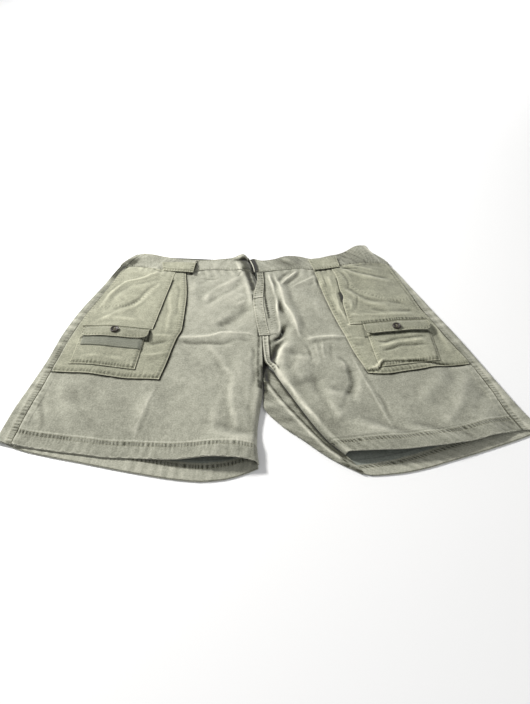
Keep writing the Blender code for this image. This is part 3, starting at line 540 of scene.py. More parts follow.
def crease_field():
    """Finer relief of the front over the floor, on a grid of 1 mm, in mm."""
    field = np.zeros((FIELD_Y.size, FIELD_X.size))
    stray_x, stray_y = (WANDERING["by"] * rough(WANDERING["length"], seed) for seed in WANDERING["seeds"])
    uneven = 1 + UNEVEN["by"] * rough(UNEVEN["length"], UNEVEN["seed"])
    for kind, width, height, line in CREASES:
        line = rounded_line(line)
        reach = width * CREASE_REACH + 2
        columns = np.flatnonzero((FIELD_X > line[:, 0].min() - reach) & (FIELD_X < line[:, 0].max() + reach))
        rows = np.flatnonzero((FIELD_Y > line[:, 1].min() - reach) & (FIELD_Y < line[:, 1].max() + reach))
        part = np.ix_(rows, columns)
        x, y = np.meshgrid(FIELD_X[columns], FIELD_Y[rows])
        if kind in ("ridge", "soft"):
            x, y = x + stray_x[part], y + stray_y[part]
        off, place = nearest_on(line, x, y)
        length = np.hypot(*np.diff(line, axis=0).T).sum()
        if kind in ("ridge", "pressed"):
            shape = np.exp(-(np.hypot(off, CREASE_ROUND) - CREASE_ROUND) / width)
        elif kind == "ladder":
            along = place * length
            ripple = np.sin(2 * math.pi * (along / LADDER_PITCH + 0.5 * wander(along / 17, int(reach))))
            shape = (ripple - LADDER_DROP) * bell(off, width)
        else:
            shape = bell(off, width)
        rise = height * uneven[part] * tapered(place, min(0.4, CREASE_TAPER / length))
        field[part] += rise * shape
    for wave in ROUGHNESS:
        field += wave["height"] * rough(wave["length"], wave["seed"])
    for lines in CRACKLE:
        crest = np.clip(1 - np.abs(rough(lines["length"], lines["seed"])) / lines["sharp"], 0, 1) ** 1.5
        where = smoothstep(rough(lines["where"], lines["seed"] + 1) * 0.6 + 0.3)
        field += lines["height"] * blurred(crest, 0.9) * where
    return field


FIELD = crease_field()
HEIGHT = FIELD + base_height(*np.meshgrid(FIELD_X, FIELD_Y))
# How far a place stands out from what is around it, near and far: paler where it stands out and darker where
# it lies low, partly wear and partly painted highlight and shade
PROUD = sum(weight * (HEIGHT - blurred(HEIGHT, radius)) for radius, weight in WEAR_AND_SHADE_SCALES)


def on_field(field, x, y):
    """Values of a field between its grid points."""
    column = np.clip(x - FIELD_X[0], 0, FIELD_X.size - 2)
    row = np.clip(y - FIELD_Y[0], 0, FIELD_Y.size - 2)
    j, i = column.astype(int), row.astype(int)
    low = between(field[i, j], field[i, j + 1], column - j)
    high = between(field[i + 1, j], field[i + 1, j + 1], column - j)
    return between(low, high, row - i)


def front_height(x, y):
    """Height of the middle of the front wall, with the creases."""
    return base_height(x, y) + on_field(FIELD, x, y)


def spaced(length, count, zones=()):
    """Shares from 0 to 1 of a length, closer together in zones given by start, end and extra density."""
    at = np.linspace(0, length, 4001)
    weight = np.ones_like(at)
    for start, end, extra in zones:
        weight += extra * ((at >= start) & (at <= end))
    total = np.concatenate([[0], np.cumsum((weight[1:] + weight[:-1]) / 2)])
    return np.interp(np.linspace(0, total[-1], count), total, at) / length


def grid_normals(grid):
    normal = np.cross(np.gradient(grid, axis=1), np.gradient(grid, axis=0))
    return normal / np.maximum(np.linalg.norm(normal, axis=2, keepdims=True), 1e-9)


def run_along(grid, axis):
    """Distance along the rows or columns of a grid from where they start."""
    step = np.linalg.norm(np.diff(grid, axis=axis), axis=2)
    pad = np.zeros((1, grid.shape[1])) if axis == 0 else np.zeros((grid.shape[0], 1))
    return np.concatenate([pad, np.cumsum(step, axis=axis)], axis=axis)


# --- Materials ------------------------------------------------------------------------------------


class Nodes:
    """A few words for building a node tree."""

    def __init__(self, name):
        self.material = bpy.data.materials.new(name)
        self.material.use_nodes = True
        self.tree = self.material.node_tree
        self.shader = self.tree.nodes["Principled BSDF"]

    def add(self, kind, sets=None, **inputs):
        node = self.tree.nodes.new(kind)
        for key, value in (sets or {}).items():
            setattr(node, key, value)
        for key, value in inputs.items():
            self.put(node.inputs[key.replace("_", " ")], value)
        return node

    def put(self, socket, value):
        if isinstance(value, bpy.types.NodeSocket):
            self.tree.links.new(value, socket)
        else:
            socket.default_value = value

    def math(self, operation, first, second=0.0, clamp=False):
        node = self.add("ShaderNodeMath", {"operation": operation, "use_clamp": clamp})
        self.put(node.inputs[0], first)
        self.put(node.inputs[1], second)
        return node.outputs[0]

    def mix(self, share, first, second):
        node = self.add("ShaderNodeMix", {"data_type": "RGBA"})
        self.put(node.inputs[0], share)
        self.put(node.inputs[6], first)
        self.put(node.inputs[7], second)
        return node.outputs[2]

    def centred(self, value, weight):
        """A value that lies around 0.5, moved to lie around 0 and weighted."""
        return self.math("MULTIPLY", self.math("SUBTRACT", value, 0.5), weight)

    def total(self, first, *others):
        for value in others:
            first = self.math("ADD", first, value)
        return first

    def bump(self, strength, distance, height):
        return self.add("ShaderNodeBump", Strength=strength, Distance=distance, Height=height)

    def noise(self, vector, scale, detail=3.0, roughness=0.5):
        node = self.add("ShaderNodeTexNoise", Vector=vector, Scale=scale, Detail=detail, Roughness=roughness)
        return node.outputs["Fac"]

    def scaled(self, vector, scale):
        return self.add("ShaderNodeMapping", Vector=vector, Scale=scale).outputs[0]


def colour(red, green, blue):
    """A linear colour from one in sRGB, each from 0 to 255."""
    return (*[((c / 255 + 0.055) / 1.055) ** 2.4 for c in (red, green, blue)], 1.0)


HOLLOW = colour(20, 19, 12)  # in the narrow gaps, where no light comes
# Washed cloth, where it is worn pale, and the unfaded colour that is left in seams. The pale colour also
# serves for painted highlights and the unfaded one for painted shade; the inside is darker and cooler,
# partly as painted shade.
FABRICS = {
    "twill": (colour(148, 148, 133), colour(207, 205, 188), colour(58, 58, 42)),
    "twill_inside": (colour(126, 131, 122), colour(170, 173, 164), colour(60, 63, 54)),
    "pocket_twill": (colour(146, 146, 126), colour(206, 204, 179), colour(56, 57, 37)),
    "tape": (colour(112, 114, 100), colour(160, 161, 146), colour(66, 68, 54)),
}
# How fine the parts of the wash and of the yarns are: repeats a metre
CLOUD, MOTTLE, SPECKLE, CRUMPLE, GRAIN = 9.0, 95.0, 420.0, 230.0, 900.0
WARP, WEFT = (2600.0, 180.0, 1.0), (160.0, 2200.0, 1.0)


def fabric(name, weave=WEAVE_PITCH, diagonal=True):
    """Ribs, uneven yarns and a mottled wash, pale where "tone" is high and deep where it is low. The tone
    carries wear and unfaded dye as well as painted highlight and shade, and where it is lowest the colour
    turns to the near-black painted shade of the narrow gaps.
    """
    made = Nodes(name)
    washed, pale, unfaded_and_shade = FABRICS[name]
    place = made.add("ShaderNodeUVMap", {"uv_map": "cloth"}).outputs[0]
    solid_place = made.add("ShaderNodeTexCoord").outputs["Object"]
    tone = made.add("ShaderNodeAttribute", {"attribute_name": "tone"}).outputs["Fac"]
    mottle = made.noise(solid_place, MOTTLE, 2.0, 0.5)
    speckle = made.noise(solid_place, SPECKLE, 4.0, 0.7)
    cloud = made.noise(solid_place, CLOUD, 2.0, 0.5)
    warp = made.noise(made.scaled(place, WARP), 1.0, 2.0, 0.6)
    weft = made.noise(made.scaled(place, WEFT), 1.0, 2.0, 0.6)
    grain = made.noise(place, GRAIN, 2.0, 0.6)
    direction, spread = ("DIAGONAL", math.sqrt(2)) if diagonal else ("Y", 1.0)
    ribs = made.add(
        "ShaderNodeTexWave",
        {"wave_type": "BANDS", "bands_direction": direction, "wave_profile": "SIN"},
        Vector=place,
        Scale=2 * math.pi / 10 / (weave * MM * spread),
        Distortion=0.8,
        Detail=1.0,
        Detail_Scale=0.2,
    ).outputs["Fac"]
    uneven = made.total(made.centred(mottle, 0.35), made.centred(cloud, 0.2), made.centred(speckle, 1.2))
    yarns = made.total(made.centred(warp, 0.35), made.centred(weft, 0.35))
    level = made.total(tone, uneven, yarns)
    # The pale share is partly wear and partly painted highlight, the deep share partly unfaded dye and partly
    # painted shade, and the hollow share is painted shade
    pale_mix = made.math("MULTIPLY", level, 1.2, clamp=True)
    deep = made.math("MULTIPLY", level, -1.3, clamp=True)
    washed_to_pale = made.mix(pale_mix, washed, pale)
    dyed_and_shaded = made.mix(deep, washed_to_pale, unfaded_and_shade)
    hollow = made.math("MULTIPLY", made.math("ADD", level, 0.95), -1.1, clamp=True)
    made.put(made.shader.inputs["Base Color"], made.mix(hollow, dyed_and_shaded, HOLLOW))
    made.shader.inputs["Roughness"].default_value = 0.92
    made.shader.inputs["Sheen Weight"].default_value = 0.18
    made.shader.inputs["Sheen Roughness"].default_value = 0.6
    made.shader.inputs["Specular IOR Level"].default_value = 0.25
    weave_bump = made.bump(0.55, 0.00012, ribs)
    yarn_bump = made.bump(0.6, 0.00016, grain)
    crumple_bump = made.bump(0.8, 0.0007, made.noise(solid_place, CRUMPLE, 4.0, 0.65))
    made.put(yarn_bump.inputs["Normal"], crumple_bump.outputs[0])
    made.put(weave_bump.inputs["Normal"], yarn_bump.outputs[0])
    made.put(made.shader.inputs["Normal"], weave_bump.outputs[0])
    return made.material


def thread_material():
    made = Nodes("thread")
    place = made.add("ShaderNodeTexCoord").outputs["Object"]
    shade = made.noise(place, 300.0, 2.0)
    made.put(made.shader.inputs["Base Color"], made.mix(shade, colour(140, 138, 112), colour(186, 184, 158)))
    made.shader.inputs["Roughness"].default_value = 0.7
    twist = made.bump(0.5, 0.0001, made.noise(place, 2500.0, 1.0))
    made.put(made.shader.inputs["Normal"], twist.outputs[0])
    return made.material


def button_material():
    made = Nodes("button")
    place = made.add("ShaderNodeTexCoord").outputs["Object"]
    swirl = made.noise(made.scaled(place, (1.0, 3.0, 1.0)), 160.0, 4.0, 0.6)
    made.put(made.shader.inputs["Base Color"], made.mix(swirl, colour(24, 21, 17), colour(62, 52, 42)))
    made.put(made.shader.inputs["Roughness"], made.math("ADD", made.math("MULTIPLY", swirl, 0.25), 0.28))
    return made.material


MATERIALS = {name: fabric(name) for name in ("twill", "twill_inside", "pocket_twill")}
MATERIALS["tape"] = fabric("tape", weave=1.3, diagonal=False)
MATERIALS["thread"] = thread_material()
MATERIALS["button"] = button_material()

# --- Painted shade lines --------------------------------------------------------------------------

# Painted shade: darker lines along the edges of pieces that lie on top, in slits, valleys and gaps and under
# flaps, as line, width, strength and seed. A negative strength is a painted highlight.
PAINTED_SHADE_LINES = {
    "front_l": (
        (edge_of(CARGO_INNER["left"], "y"), 3.0, 2.3, 11),
        (edge_of(CARGO_BOTTOM["left"], "x"), 2.2, 1.7, 12),
        (((-37, 118), (-34, 91), (-29, 55), (-26, 30), (-24, 0)), 1.9, 1.2, 31),
        (((-22, 32), (-24, -20), (-25, -64), (-23, -118)), 2.4, 0.9, 32),
        (FLY_SHADOW, 4.6, 1.5, 62),
        (CROTCH_SHADOW, 3.0, 1.0, 37),
        (((-158, 183), (-160, 186), (-156, 198)), 3.0, 1.6, 64),
    ),
    "front_r": (
        (edge_of(CARGO_INNER["right"], "y"), 3.0, 0.5, 11),
        (edge_of(CARGO_BOTTOM["right"], "x"), 2.2, 1.7, 12),
        (((-16, 190), (-14, 152), (-13, 110), (-10, 80), (-6, 48)), 2.0, 1.5, 33),
        (((24, 30), (15, 8), (6, -8), (-4, -17)), 4.0, 0.9, 34),
        (((8, -22), (3, -34), (2, -50), (0, -62)), 5.0, 1.0, 35),
        (CROTCH_SHADOW, 4.0, 1.6, 37),
        (((-19, 4), (-8, 0), (6, 6)), 1.6, 1.0, 36),
    ),
    "back_l": ((WAIST_SHADE, 11.0, 1.2, 63),),
    "back_r": ((((-14, -70), (-11, -84), (-11, -100), (-15, -120)), 5.0, 2.0, 37),),
    "waistband_front_l": (
        (FLY_SHADOW, 6.5, 1.6, 62),
        (WAIST_SHADE, 11.0, 1.2, 63),
        (((-158, 190), (-154, 206), (-151, 222)), 3.0, 1.8, 64),
    ),
    "waistband_back": ((WAIST_SHADE, 11.0, 1.0, 63),),
    "cargo_panel_l": (
        (edge_of(SLIT["left"], "y")[5:], 2.6, 2.3, 13),
        (WAIST_SHADE, 11.0, 0.9, 63),
        (FLAP["left"][2:], 1.8, 1.1, 14),
        (FLAP["left"][1::2], 1.8, 1.1, 14),
        (POCKET["left"][2:], 1.4, 0.8, 15),
        (POCKET["left"][1::2], 1.4, 0.8, 16),
        (TUNNEL["left"][2:], 1.6, 1.1, 17),
    ),
    "cargo_panel_r": (
        (edge_of(SLIT["right"], "y")[4:24], 1.6, 0.9, 13),
        (((129, 114), (131, 103), (131, 90)), 3.8, 2.3, 66),
        (((134, 25.5), (158, 25.5)), 2.4, -0.9, 67),
        (FLAP["right"][2:], 1.8, 1.1, 14),
        (FLAP["right"][1::2], 1.8, 0.4, 14),
        (POCKET["right"][2:], 1.4, 0.8, 15),
        (POCKET["right"][1::2], 1.4, 0.3, 16),
        (TUNNEL["right"][2:], 1.6, 1.1, 17),
    ),
    "hip_panel_l": ((TUNNEL["left"][2:], 1.6, 1.1, 17), (FLAP["left"][:2], 1.4, 0.8, 18)),
    "hip_panel_r": ((TUNNEL["right"][2:], 1.6, 1.1, 17), (FLAP["right"][:2], 1.4, 0.8, 18)),
    "cargo_pocket_l": ((FLAP["left"][2:], 2.4, 1.2, 14),),
    "cargo_pocket_r": ((FLAP["right"][2:], 2.4, 1.2, 14),),
    "pocket_tape_l": ((FLAP["left"][2:], 2.4, 1.6, 19),),
}

# --- Cloth shells ---------------------------------------------------------------------------------


def strip_between(first, first_at, second, second_at):
    """Triangles between two rows of vertices whose places along the rows are given."""
    faces = []
    i = j = 0
    while i < len(first) - 1 or j < len(second) - 1:
        if j == len(second) - 1 or (i < len(first) - 1 and first_at[i + 1] <= second_at[j + 1]):
            faces.append((second[j], first[i + 1], first[i]))
            i += 1
        else:
            faces.append((second[j], second[j + 1], first[i]))
            j += 1
    return faces


def around(rows, columns):
    """The closed loop around a grid: its row numbers, its column numbers, and places along it."""
    last_row, last_column = rows[-1], columns[-1]
    loop = [(0, c, c) for c in columns]
    loop += [(r, last_column, last_column + r) for r in rows[1:]]
    loop += [(last_row, c, last_row + 2 * last_column - c) for c in columns[-2::-1]]
    loop += [(r, 0, 2 * last_row + 2 * last_column - r) for r in rows[-2::-1]]
    return np.array(loop).T


def quads(grid, flipped=False):
    """The faces of a grid of vertex numbers."""
    corners = [grid[:-1, :-1], grid[:-1, 1:], grid[1:, 1:], grid[1:, :-1]]
    return np.stack(corners[::-1] if flipped else corners, axis=-1).reshape(-1, 4).tolist()


class Piece:
    """One cloth piece: a grid of points along its middle, and how far its two faces lie from it."""

    def __init__(self, node, middle, slot="twill", half=CLOTH / 2, outside_up=True):
        self.node, self.middle, self.slot = node, middle, slot
        self.normal = grid_normals(middle)
        if (self.normal[0, middle.shape[1] // 2, 2] > 0) != outside_up:
            self.normal = -self.normal
        self.outward = np.full(middle.shape[:2], float(half))
        self.inward = np.full(middle.shape[:2], float(half))
        # Starts paler where the cloth stands out and darker where it lies low, partly wear and partly painted
        # highlight and shade, with the paler and darker patches
        self.tone = on_field(PROUD, middle[..., 0], middle[..., 1])
        for x, y, radius, tone in TONE_PATCHES:
            self.tone += tone * bell(np.hypot(middle[..., 0] - x, middle[..., 1] - y), radius)
        self.inside_tone = self.tone * 0
        self.turned_up = 0.0  # how deep the hem is whose outside shows on the inside
        down, across = run_along(middle, 0), run_along(middle, 1)
        self.away = {"t": down, "b": down[-1:] - down, "i": across, "o": across[:, -1:] - across}
        self.along = {"t": across, "b": across, "i": down, "o": down}

    def gathered(self, edge, near, far, pitch, height, seed, reach, channel, inside=False, where=1.0,
                 shade=1.0):
        """Cloth drawn up between two rows of stitches that run along an edge: short cross ridges, pale on
        top and dark between, which fade out beyond the rows. The pale tops are partly wear and partly
        painted highlight, and the dark between is partly unfaded dye and partly painted shade. The channel
        says how dark it is between."""
        away, along = self.away[edge], self.along[edge]
        phase = 2 * math.pi * (along / pitch + 0.8 * wander(along / (3.3 * pitch), seed))
        size = 0.66 + 0.34 * wander(along / (1.4 * pitch) + 7, seed + 1)
        middle, half = (near + far) / 2, (far - near) / 2
        past = np.abs(away - middle) - half
        between_rows = smoothstep(0.5 - past / 1.6)
        beyond = 0.55 * np.exp(-(np.maximum(past, 0) / reach) ** 1.2) * (1 - between_rows)
        ripple = np.sin(phase) * size
        relief = height * ripple * (between_rows + beyond) - 0.12 * between_rows
        for row in (near, far):
            relief = relief - 0.22 * bell(away - row, 0.8)
        patchy = 0.72 + 0.28 * wander(along / 38 + 3, seed + 2)
        tone = shade * ((0.5 * ripple - channel * 0.5 * patchy) * between_rows + 0.25 * ripple * beyond)
        if inside:
            self.inward += relief * where
            self.inside_tone += tone * where
        else:
            self.outward += relief * where
            self.tone += tone * where

    def worn_edge(self, edges, width, strength):
        """Paler along edges."""
        for edge in edges:
            self.tone += strength * bell(self.away[edge], width)

    def painted_shade_along(self, line, width, strength, seed):
        """Painted shade, uneven, along a line in plan; a negative strength paints a highlight."""
        off, place = nearest_on(line, self.middle[..., 0], self.middle[..., 1])
        uneven = 0.75 + 0.25 * wander(place * 24, seed)
        self.tone -= strength * uneven * bell(off, width)

    def row_at(self, edge, distance, start=0.0, end=1.0, inside=False):
        """Points and normals of the line at a distance from an edge, for stitches."""
        points = self.middle + self.normal * self.outward[..., None]
        normals = self.normal
        if inside:
            points = self.middle - self.normal * self.inward[..., None]
            normals = -self.normal
        away = self.away[edge]
        if edge in "io":
            points, normals, away = (a.swapaxes(0, 1) for a in (points, normals, away))
        if edge in "bo":
            points, normals, away = points[::-1], normals[::-1], away[::-1]
        line, line_normals = [], []
        for k in range(points.shape[1]):
            at = float(np.interp(distance, away[:, k], np.arange(len(away))))
            i = min(int(at), len(away) - 2)
            line.append(between(points[i, k], points[i + 1, k], at - i))
            line_normals.append(normals[i, k])
        first, last = int(start * (len(line) - 1)), int(end * (len(line) - 1)) + 1
        return np.array(line[first:last]), np.array(line_normals[first:last])

    def build(self, outer_columns=None, inner_rows=None, inner_columns=None, step=3):
        """Makes the closed mesh: the outer face, the rounded edge, and a coarser inner face."""
        # The painted shade lines that lie on this piece
        for stain in PAINTED_SHADE_LINES.get(self.node, ()):
            self.painted_shade_along(*stain)
        count_r, count_c = self.middle.shape[:2]
        rows = np.arange(count_r)
        columns = np.arange(count_c) if outer_columns is None else outer_columns
        low_rows = thinned(count_r, step) if inner_rows is None else inner_rows
        low_columns = thinned(count_c, step) if inner_columns is None else inner_columns
        edge_out = edge_directions(self.middle)
        bulge = EDGE_BULGE * (self.outward + self.inward)[..., None]
        outer = self.middle + self.normal * self.outward[..., None] - edge_out * bulge
        inner = self.middle - self.normal * self.inward[..., None] - edge_out * bulge
        points, tones, uvs = [], [], []

        def add(places, tone, r, c):
            """Adds vertices that belong to rows r and columns c of the grid, and gives their numbers."""
            first = sum(len(p) for p in points)
            points.append(places.reshape(-1, 3))
            tones.append(tone.reshape(-1))
            flat = np.stack([self.along["t"][r, c], self.along["i"][r, c]], axis=-1)
            uvs.append(flat.reshape(-1, 2) * MM)
            return first + np.arange(len(points[-1])).reshape(places.shape[:-1])

        high_part, low_part = np.ix_(rows, columns), np.ix_(low_rows, low_columns)
        high = add(outer[high_part], self.tone[high_part], *high_part)
        low = add(inner[low_part], self.inside_tone[low_part], *low_part)
        inside_faces = quads(low, True)
        r, c, at = around(rows, columns)
        ring = high[np.searchsorted(rows, r), np.searchsorted(columns, c)]
        r, c = r[:-1], c[:-1]
        half = ((self.outward + self.inward) / 2)[r, c][:, None]
        centre = ((outer + inner) / 2)[r, c]
        faces = quads(high)
        up, out = self.normal[r, c] * half, edge_out[r, c] * bulge[r, c]
        for angle in np.radians(EDGE_ANGLES):
            rounded = centre + up * math.cos(angle) + out * math.sin(angle)
            after = add(rounded, self.tone[r, c] * 0.5 + 0.15, r, c)
            after = np.append(after, after[0])
            faces += np.stack([ring[:-1], after[:-1], after[1:], ring[1:]], axis=1).tolist()
            ring = after
        low_r, low_c, low_at = around(low_rows, low_columns)
        low_ring = low[np.searchsorted(low_rows, low_r), np.searchsorted(low_columns, low_c)]
        faces += strip_between(ring.tolist(), at.tolist(), low_ring.tolist(), low_at.tolist())
        faces += inside_faces
        points, tones, uvs = np.concatenate(points), np.concatenate(tones), np.concatenate(uvs)
        if volume(points, faces) < 0:
            faces = [face[::-1] for face in faces]
        made = mesh_object(self.node + "_cloth", points, faces, self.slot)
        mesh = made.data
        mesh.materials.append(MATERIALS["twill_inside"])
        which = np.zeros(len(faces), np.int32)
        inside = which[-len(inside_faces):]
        inside[:] = 1
        if self.turned_up:
            on_hem = self.away["b"][low_part] < self.turned_up
            inside[on_hem[:-1, :-1].ravel()] = 0
        mesh.polygons.foreach_set("material_index", which)
        layer = mesh.attributes.new("tone", "FLOAT", "POINT")
        layer.data.foreach_set("value", tones.astype(np.float32))
        flat = mesh.uv_layers.new(name="cloth")
        corner_of = np.zeros(len(mesh.loops), np.int32)
        mesh.loops.foreach_get("vertex_index", corner_of)
        flat.data.foreach_set("uv", uvs[corner_of].astype(np.float32).ravel())
        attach(made, "root")
        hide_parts(self.node)


def thinned(count, step):
    """Every so many numbers below count, with the last one."""
    return np.unique(np.concatenate([np.arange(0, count, step), [count - 1]]))


def edge_directions(grid):
    """Unit vectors out of the grid at its border points, and zero inside."""
    out = np.zeros_like(grid)
    out[0] += unit(grid[0] - grid[1])
    out[-1] += unit(grid[-1] - grid[-2])
    out[:, 0] += unit(grid[:, 0] - grid[:, 1])
    out[:, -1] += unit(grid[:, -1] - grid[:, -2])
    length = np.linalg.norm(out, axis=2, keepdims=True)
    return np.where(length > 0, out / np.maximum(length, 1e-9), 0)


def unit(vectors):
    return vectors / np.maximum(np.linalg.norm(vectors, axis=-1, keepdims=True), 1e-9)


def volume(points, faces):
    """Six times the volume inside closed faces."""
    total = 0.0
    for corners in (3, 4):
        some = np.array([face for face in faces if len(face) == corners])
        if len(some):
            for k in range(1, corners - 1):
                a, b, c = points[some[:, 0]], points[some[:, k]], points[some[:, k + 1]]
                total += float((a * np.cross(b, c)).sum())
    return total


def mesh_object(name, points, faces, material):
    """A smooth object from points in mm."""
    mesh = bpy.data.meshes.new(name)
    mesh.from_pydata(((np.asarray(points, float) - ORIGIN) * MM).tolist(), [], faces)
    mesh.shade_smooth()
    mesh.materials.append(MATERIALS[material])
    made = bpy.data.objects.new(name, mesh)
    bpy.context.scene.collection.objects.link(made)
    return made


# --- Stitches -------------------------------------------------------------------------------------

THREADS = {}


def sew(group, line, normals):
    """Adds a row of stitches along a line on the cloth."""
    steps = np.linalg.norm(np.diff(line, axis=0), axis=1)
    place = np.concatenate([[0], np.cumsum(steps)])
    starts = np.arange(STITCH_PITCH / 2, place[-1] - STITCH_LENGTH, STITCH_PITCH)

    def at(values, where):
        return np.stack([np.interp(where, place, values[:, k]) for k in range(3)], axis=1)

    head, tail = at(line, starts), at(line, starts + STITCH_LENGTH)
    up = unit(at(normals, starts + STITCH_LENGTH / 2))
    THREADS.setdefault(group, []).append((head, tail, up))


def sew_rows(group, piece, edges, distances, start=0.0, end=1.0, inside=False):
    """Adds rows of stitches at distances from edges of a piece."""
    for edge in edges:
        for distance in distances:
            sew(group, *piece.row_at(edge, distance, start, end, inside))


def build_threads(group):
    """Each stitch is a small bead of thread, sunk at both ends."""
    head, tail, up = (np.concatenate([row[k] for row in THREADS[group]]) for k in range(3))
    run = unit(tail - head)
    side = unit(np.cross(run, up))
    points = []
    reach = STITCH_WIDTH / 2
    for share in STITCH_SHOULDERS:
        middle = between(head, tail, share) + up * STITCH_RISE
        points += [middle + side * reach, middle + up * reach, middle - side * reach, middle - up * reach]
    points += [head - up * STITCH_SINK, tail - up * STITCH_SINK]
    points = np.stack(points, axis=1)
    faces = []
    for k in range(4):
        after = (k + 1) % 4
        faces += [(k, after, after + 4), (k, after + 4, k + 4), (8, after, k), (9, k + 4, after + 4)]
    firsts = np.arange(len(points))[:, None, None] * points.shape[1]
    faces = (np.array(faces)[None] + firsts).reshape(-1, 3)
    made = mesh_object("stitches_" + group, points.reshape(-1, 3), faces.tolist(), "thread")
    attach(made, "root")


# --- Body panels ----------------------------------------------------------------------------------

T = spaced(LEG, LEG_ROWS, ((438, LEG, 1.1),))[:, None]  # the rows of a leg, from waist seam to hem


def meet(line, side, y):
    """Where the side seam meets a line."""
    for _ in range(20):
        y = float(follow(line, "x", "y", seam_x(side, y)))
    return y


def seam_line(side):
    y = between(meet(WAIST_SEAM, side, 220.0), meet(FRONT_HEM[side], side, -210.0), T)
    return seam_x(side, y), y


def cross(start, end, share, bottom, down=T, power=4, below_waist=0.0, above=0.0):
    """Points from one long edge to the other, drawn to the waist seam at the top and to a line at the
    bottom. A higher power draws only the rows that are closer to them."""
    x = between(start[0], end[0], share)
    y = between(start[1], end[1], share)
    to_waist = follow(WAIST_SEAM, "x", "y", x[0]) - below_waist - y[0]
    to_bottom = follow(bottom, "x", "y", x[-1]) + above - y[-1]
    return x, y + to_waist * (1 - down) ** power + to_bottom * down**power


def inner_line(name):
    """One of the long lines at the middle of the garment."""
    return follow(INNER, "t", name + "_x", T), follow(INNER, "t", name + "_y", T)


def hem_step():
    """0 on the leg and 1 on the turned hem."""
    return smoothstep((T - HEM_T) * LEG / 1.6 + 0.5)


def fly_dip(x, y):
    """How far the left edge of the fly's opening sinks: rows of a grid that start at that edge."""
    near = smoothstep(1 - np.abs(x - x[:, :1]) / FLY_DIP["run"])
    return FLY_DIP["depth"] * near * smoothstep((y - FLY_DIP["from"]) / (FLY_DIP["full"] - FLY_DIP["from"]))


def front_grid(side):
    """The grid of a front, with the columns of its rolled inner edge first."""
    out = OUTWARDS[side]
    across = spaced(FRONT_WIDTH, FRONT_COLUMNS, ((0, 30, 0.5), (334, FRONT_WIDTH, 1.0)))[None, :]
    angles = np.radians(np.linspace(0, ROLL_ANGLE, EDGE_COLUMNS))[None, :]
    inner_x, inner_y = inner_line(side)
    inner_x = inner_x + out * GAP / 2
    if side == "left":
        gape = smoothstep((inner_y - NOTCH_FROM) / (NOTCH_TO - NOTCH_FROM))
        inner_x = inner_x + out * NOTCH_DEPTH * gape
    sx, sy = seam_line(side)
    start = (inner_x + out * EDGE_ROLL, inner_y)
    x, y = cross(start, (sx - out * GAP / 2, sy), across, FRONT_HEM[side])
    z = front_height(x, y)
    if side == "left":
        low = smoothstep((T - SETTLES["from"]) / SETTLES["over"])
        outer = smoothstep((-SETTLES["x"] - x) / SETTLES["x_run"])
        sinks = low * outer * smoothstep((x - sx) / SETTLES["seam_run"]) * np.maximum(z - SETTLED_AT, 0)
        y, z = y + SETTLED_BACK * sinks, z - sinks
    rolled = smoothstep((T - ROLL_FROM) / (ROLL_FULL - ROLL_FROM))
    rests_at = CLOTH + GAP + (2 * INNER_FOLD["leg"] if side == "right" else HEM_RELIEF * hem_step())
    flat_x = inner_x + out * EDGE_ROLL * angles / math.radians(90)
    roll_x = inner_x + out * EDGE_ROLL * (1 - np.cos(angles))
    edge_x = between(flat_x, roll_x, rolled)
    edge_y = y[:, :1] + 0 * edge_x
    roll_z = between(rests_at, z[:, :1], np.sin(angles))
    edge_z = between(front_height(edge_x, edge_y), roll_z, rolled)
    x, y, z = (np.hstack(pair) for pair in ((edge_x, x), (edge_y, y), (edge_z, z)))
    if side == "left":
        z = z - fly_dip(x, y)
    return np.stack([x, y, z], axis=2)


def front_panel(side):
    piece = Piece("front_" + side[0], front_grid(side))
    hem = hem_step()
    fell = smoothstep((FELL_WIDTH - piece.away["o"]) / 1.4 + 0.5) * (1 - hem)
    piece.outward += HEM_RELIEF / 2 * hem + FELL_RELIEF * fell
    piece.inward += HEM_RELIEF / 2 * hem
    piece.gathered("b", *HEM_PUCKERS, pitch=5.4, height=0.42, seed=21, reach=9.0, channel=0.7, shade=0.85)
    hem_ripples(piece, 41)
    soft_gathers(piece, "o", 23, depth=16.0, pitch=13.2, height=0.35)
    soft_gathers(piece, "t", 25)
    # Pale lines along the top of the turned hem, its edge and the fell, partly wear and partly painted
    # highlight
    top_line = bell(piece.away["b"] - HEM_LINE, 1.3)
    piece.tone += 0.32 * top_line + 0.3 * bell(piece.away["b"], 1.5) + 0.28 * bell(piece.away["o"] - 1.8, 1.5)
    piece.tone -= (0.08 if side == "left" else 0.2) * hem
    if side == "right":
        crotch_seam(piece)
    piece.build()
    sew_rows("hems", piece, "b", HEM_SEWN)
    return piece


def hem_ripples(piece, seed, inside=False):
    """Slanted soft ripples that run across the turned hem, where it has shrunk unevenly."""
    away, along = piece.away["b"], piece.along["b"]
    phase = 2 * math.pi * (along / 17 + 0.5 * wander(along / 40, seed)) + away * 0.09
    size = 0.5 + 0.5 * wander(along / 23, seed + 1)
    on_hem = smoothstep((22 - away) / 5) * smoothstep((away + 1) / 3)
    ripple = np.sin(phase) * size + 0.5 * np.sin(2.7 * phase + 1) * (0.5 + 0.5 * wander(along / 15, seed + 2))
    # The tone follows the ripples, paler on top and darker between, partly wear and partly painted shade
    if inside:
        piece.inward += 0.22 * ripple * on_hem
        piece.inside_tone += (0.12 + 0.16 * ripple) * on_hem
    else:
        piece.outward += 0.28 * ripple * on_hem
        piece.tone += 0.13 * ripple * on_hem


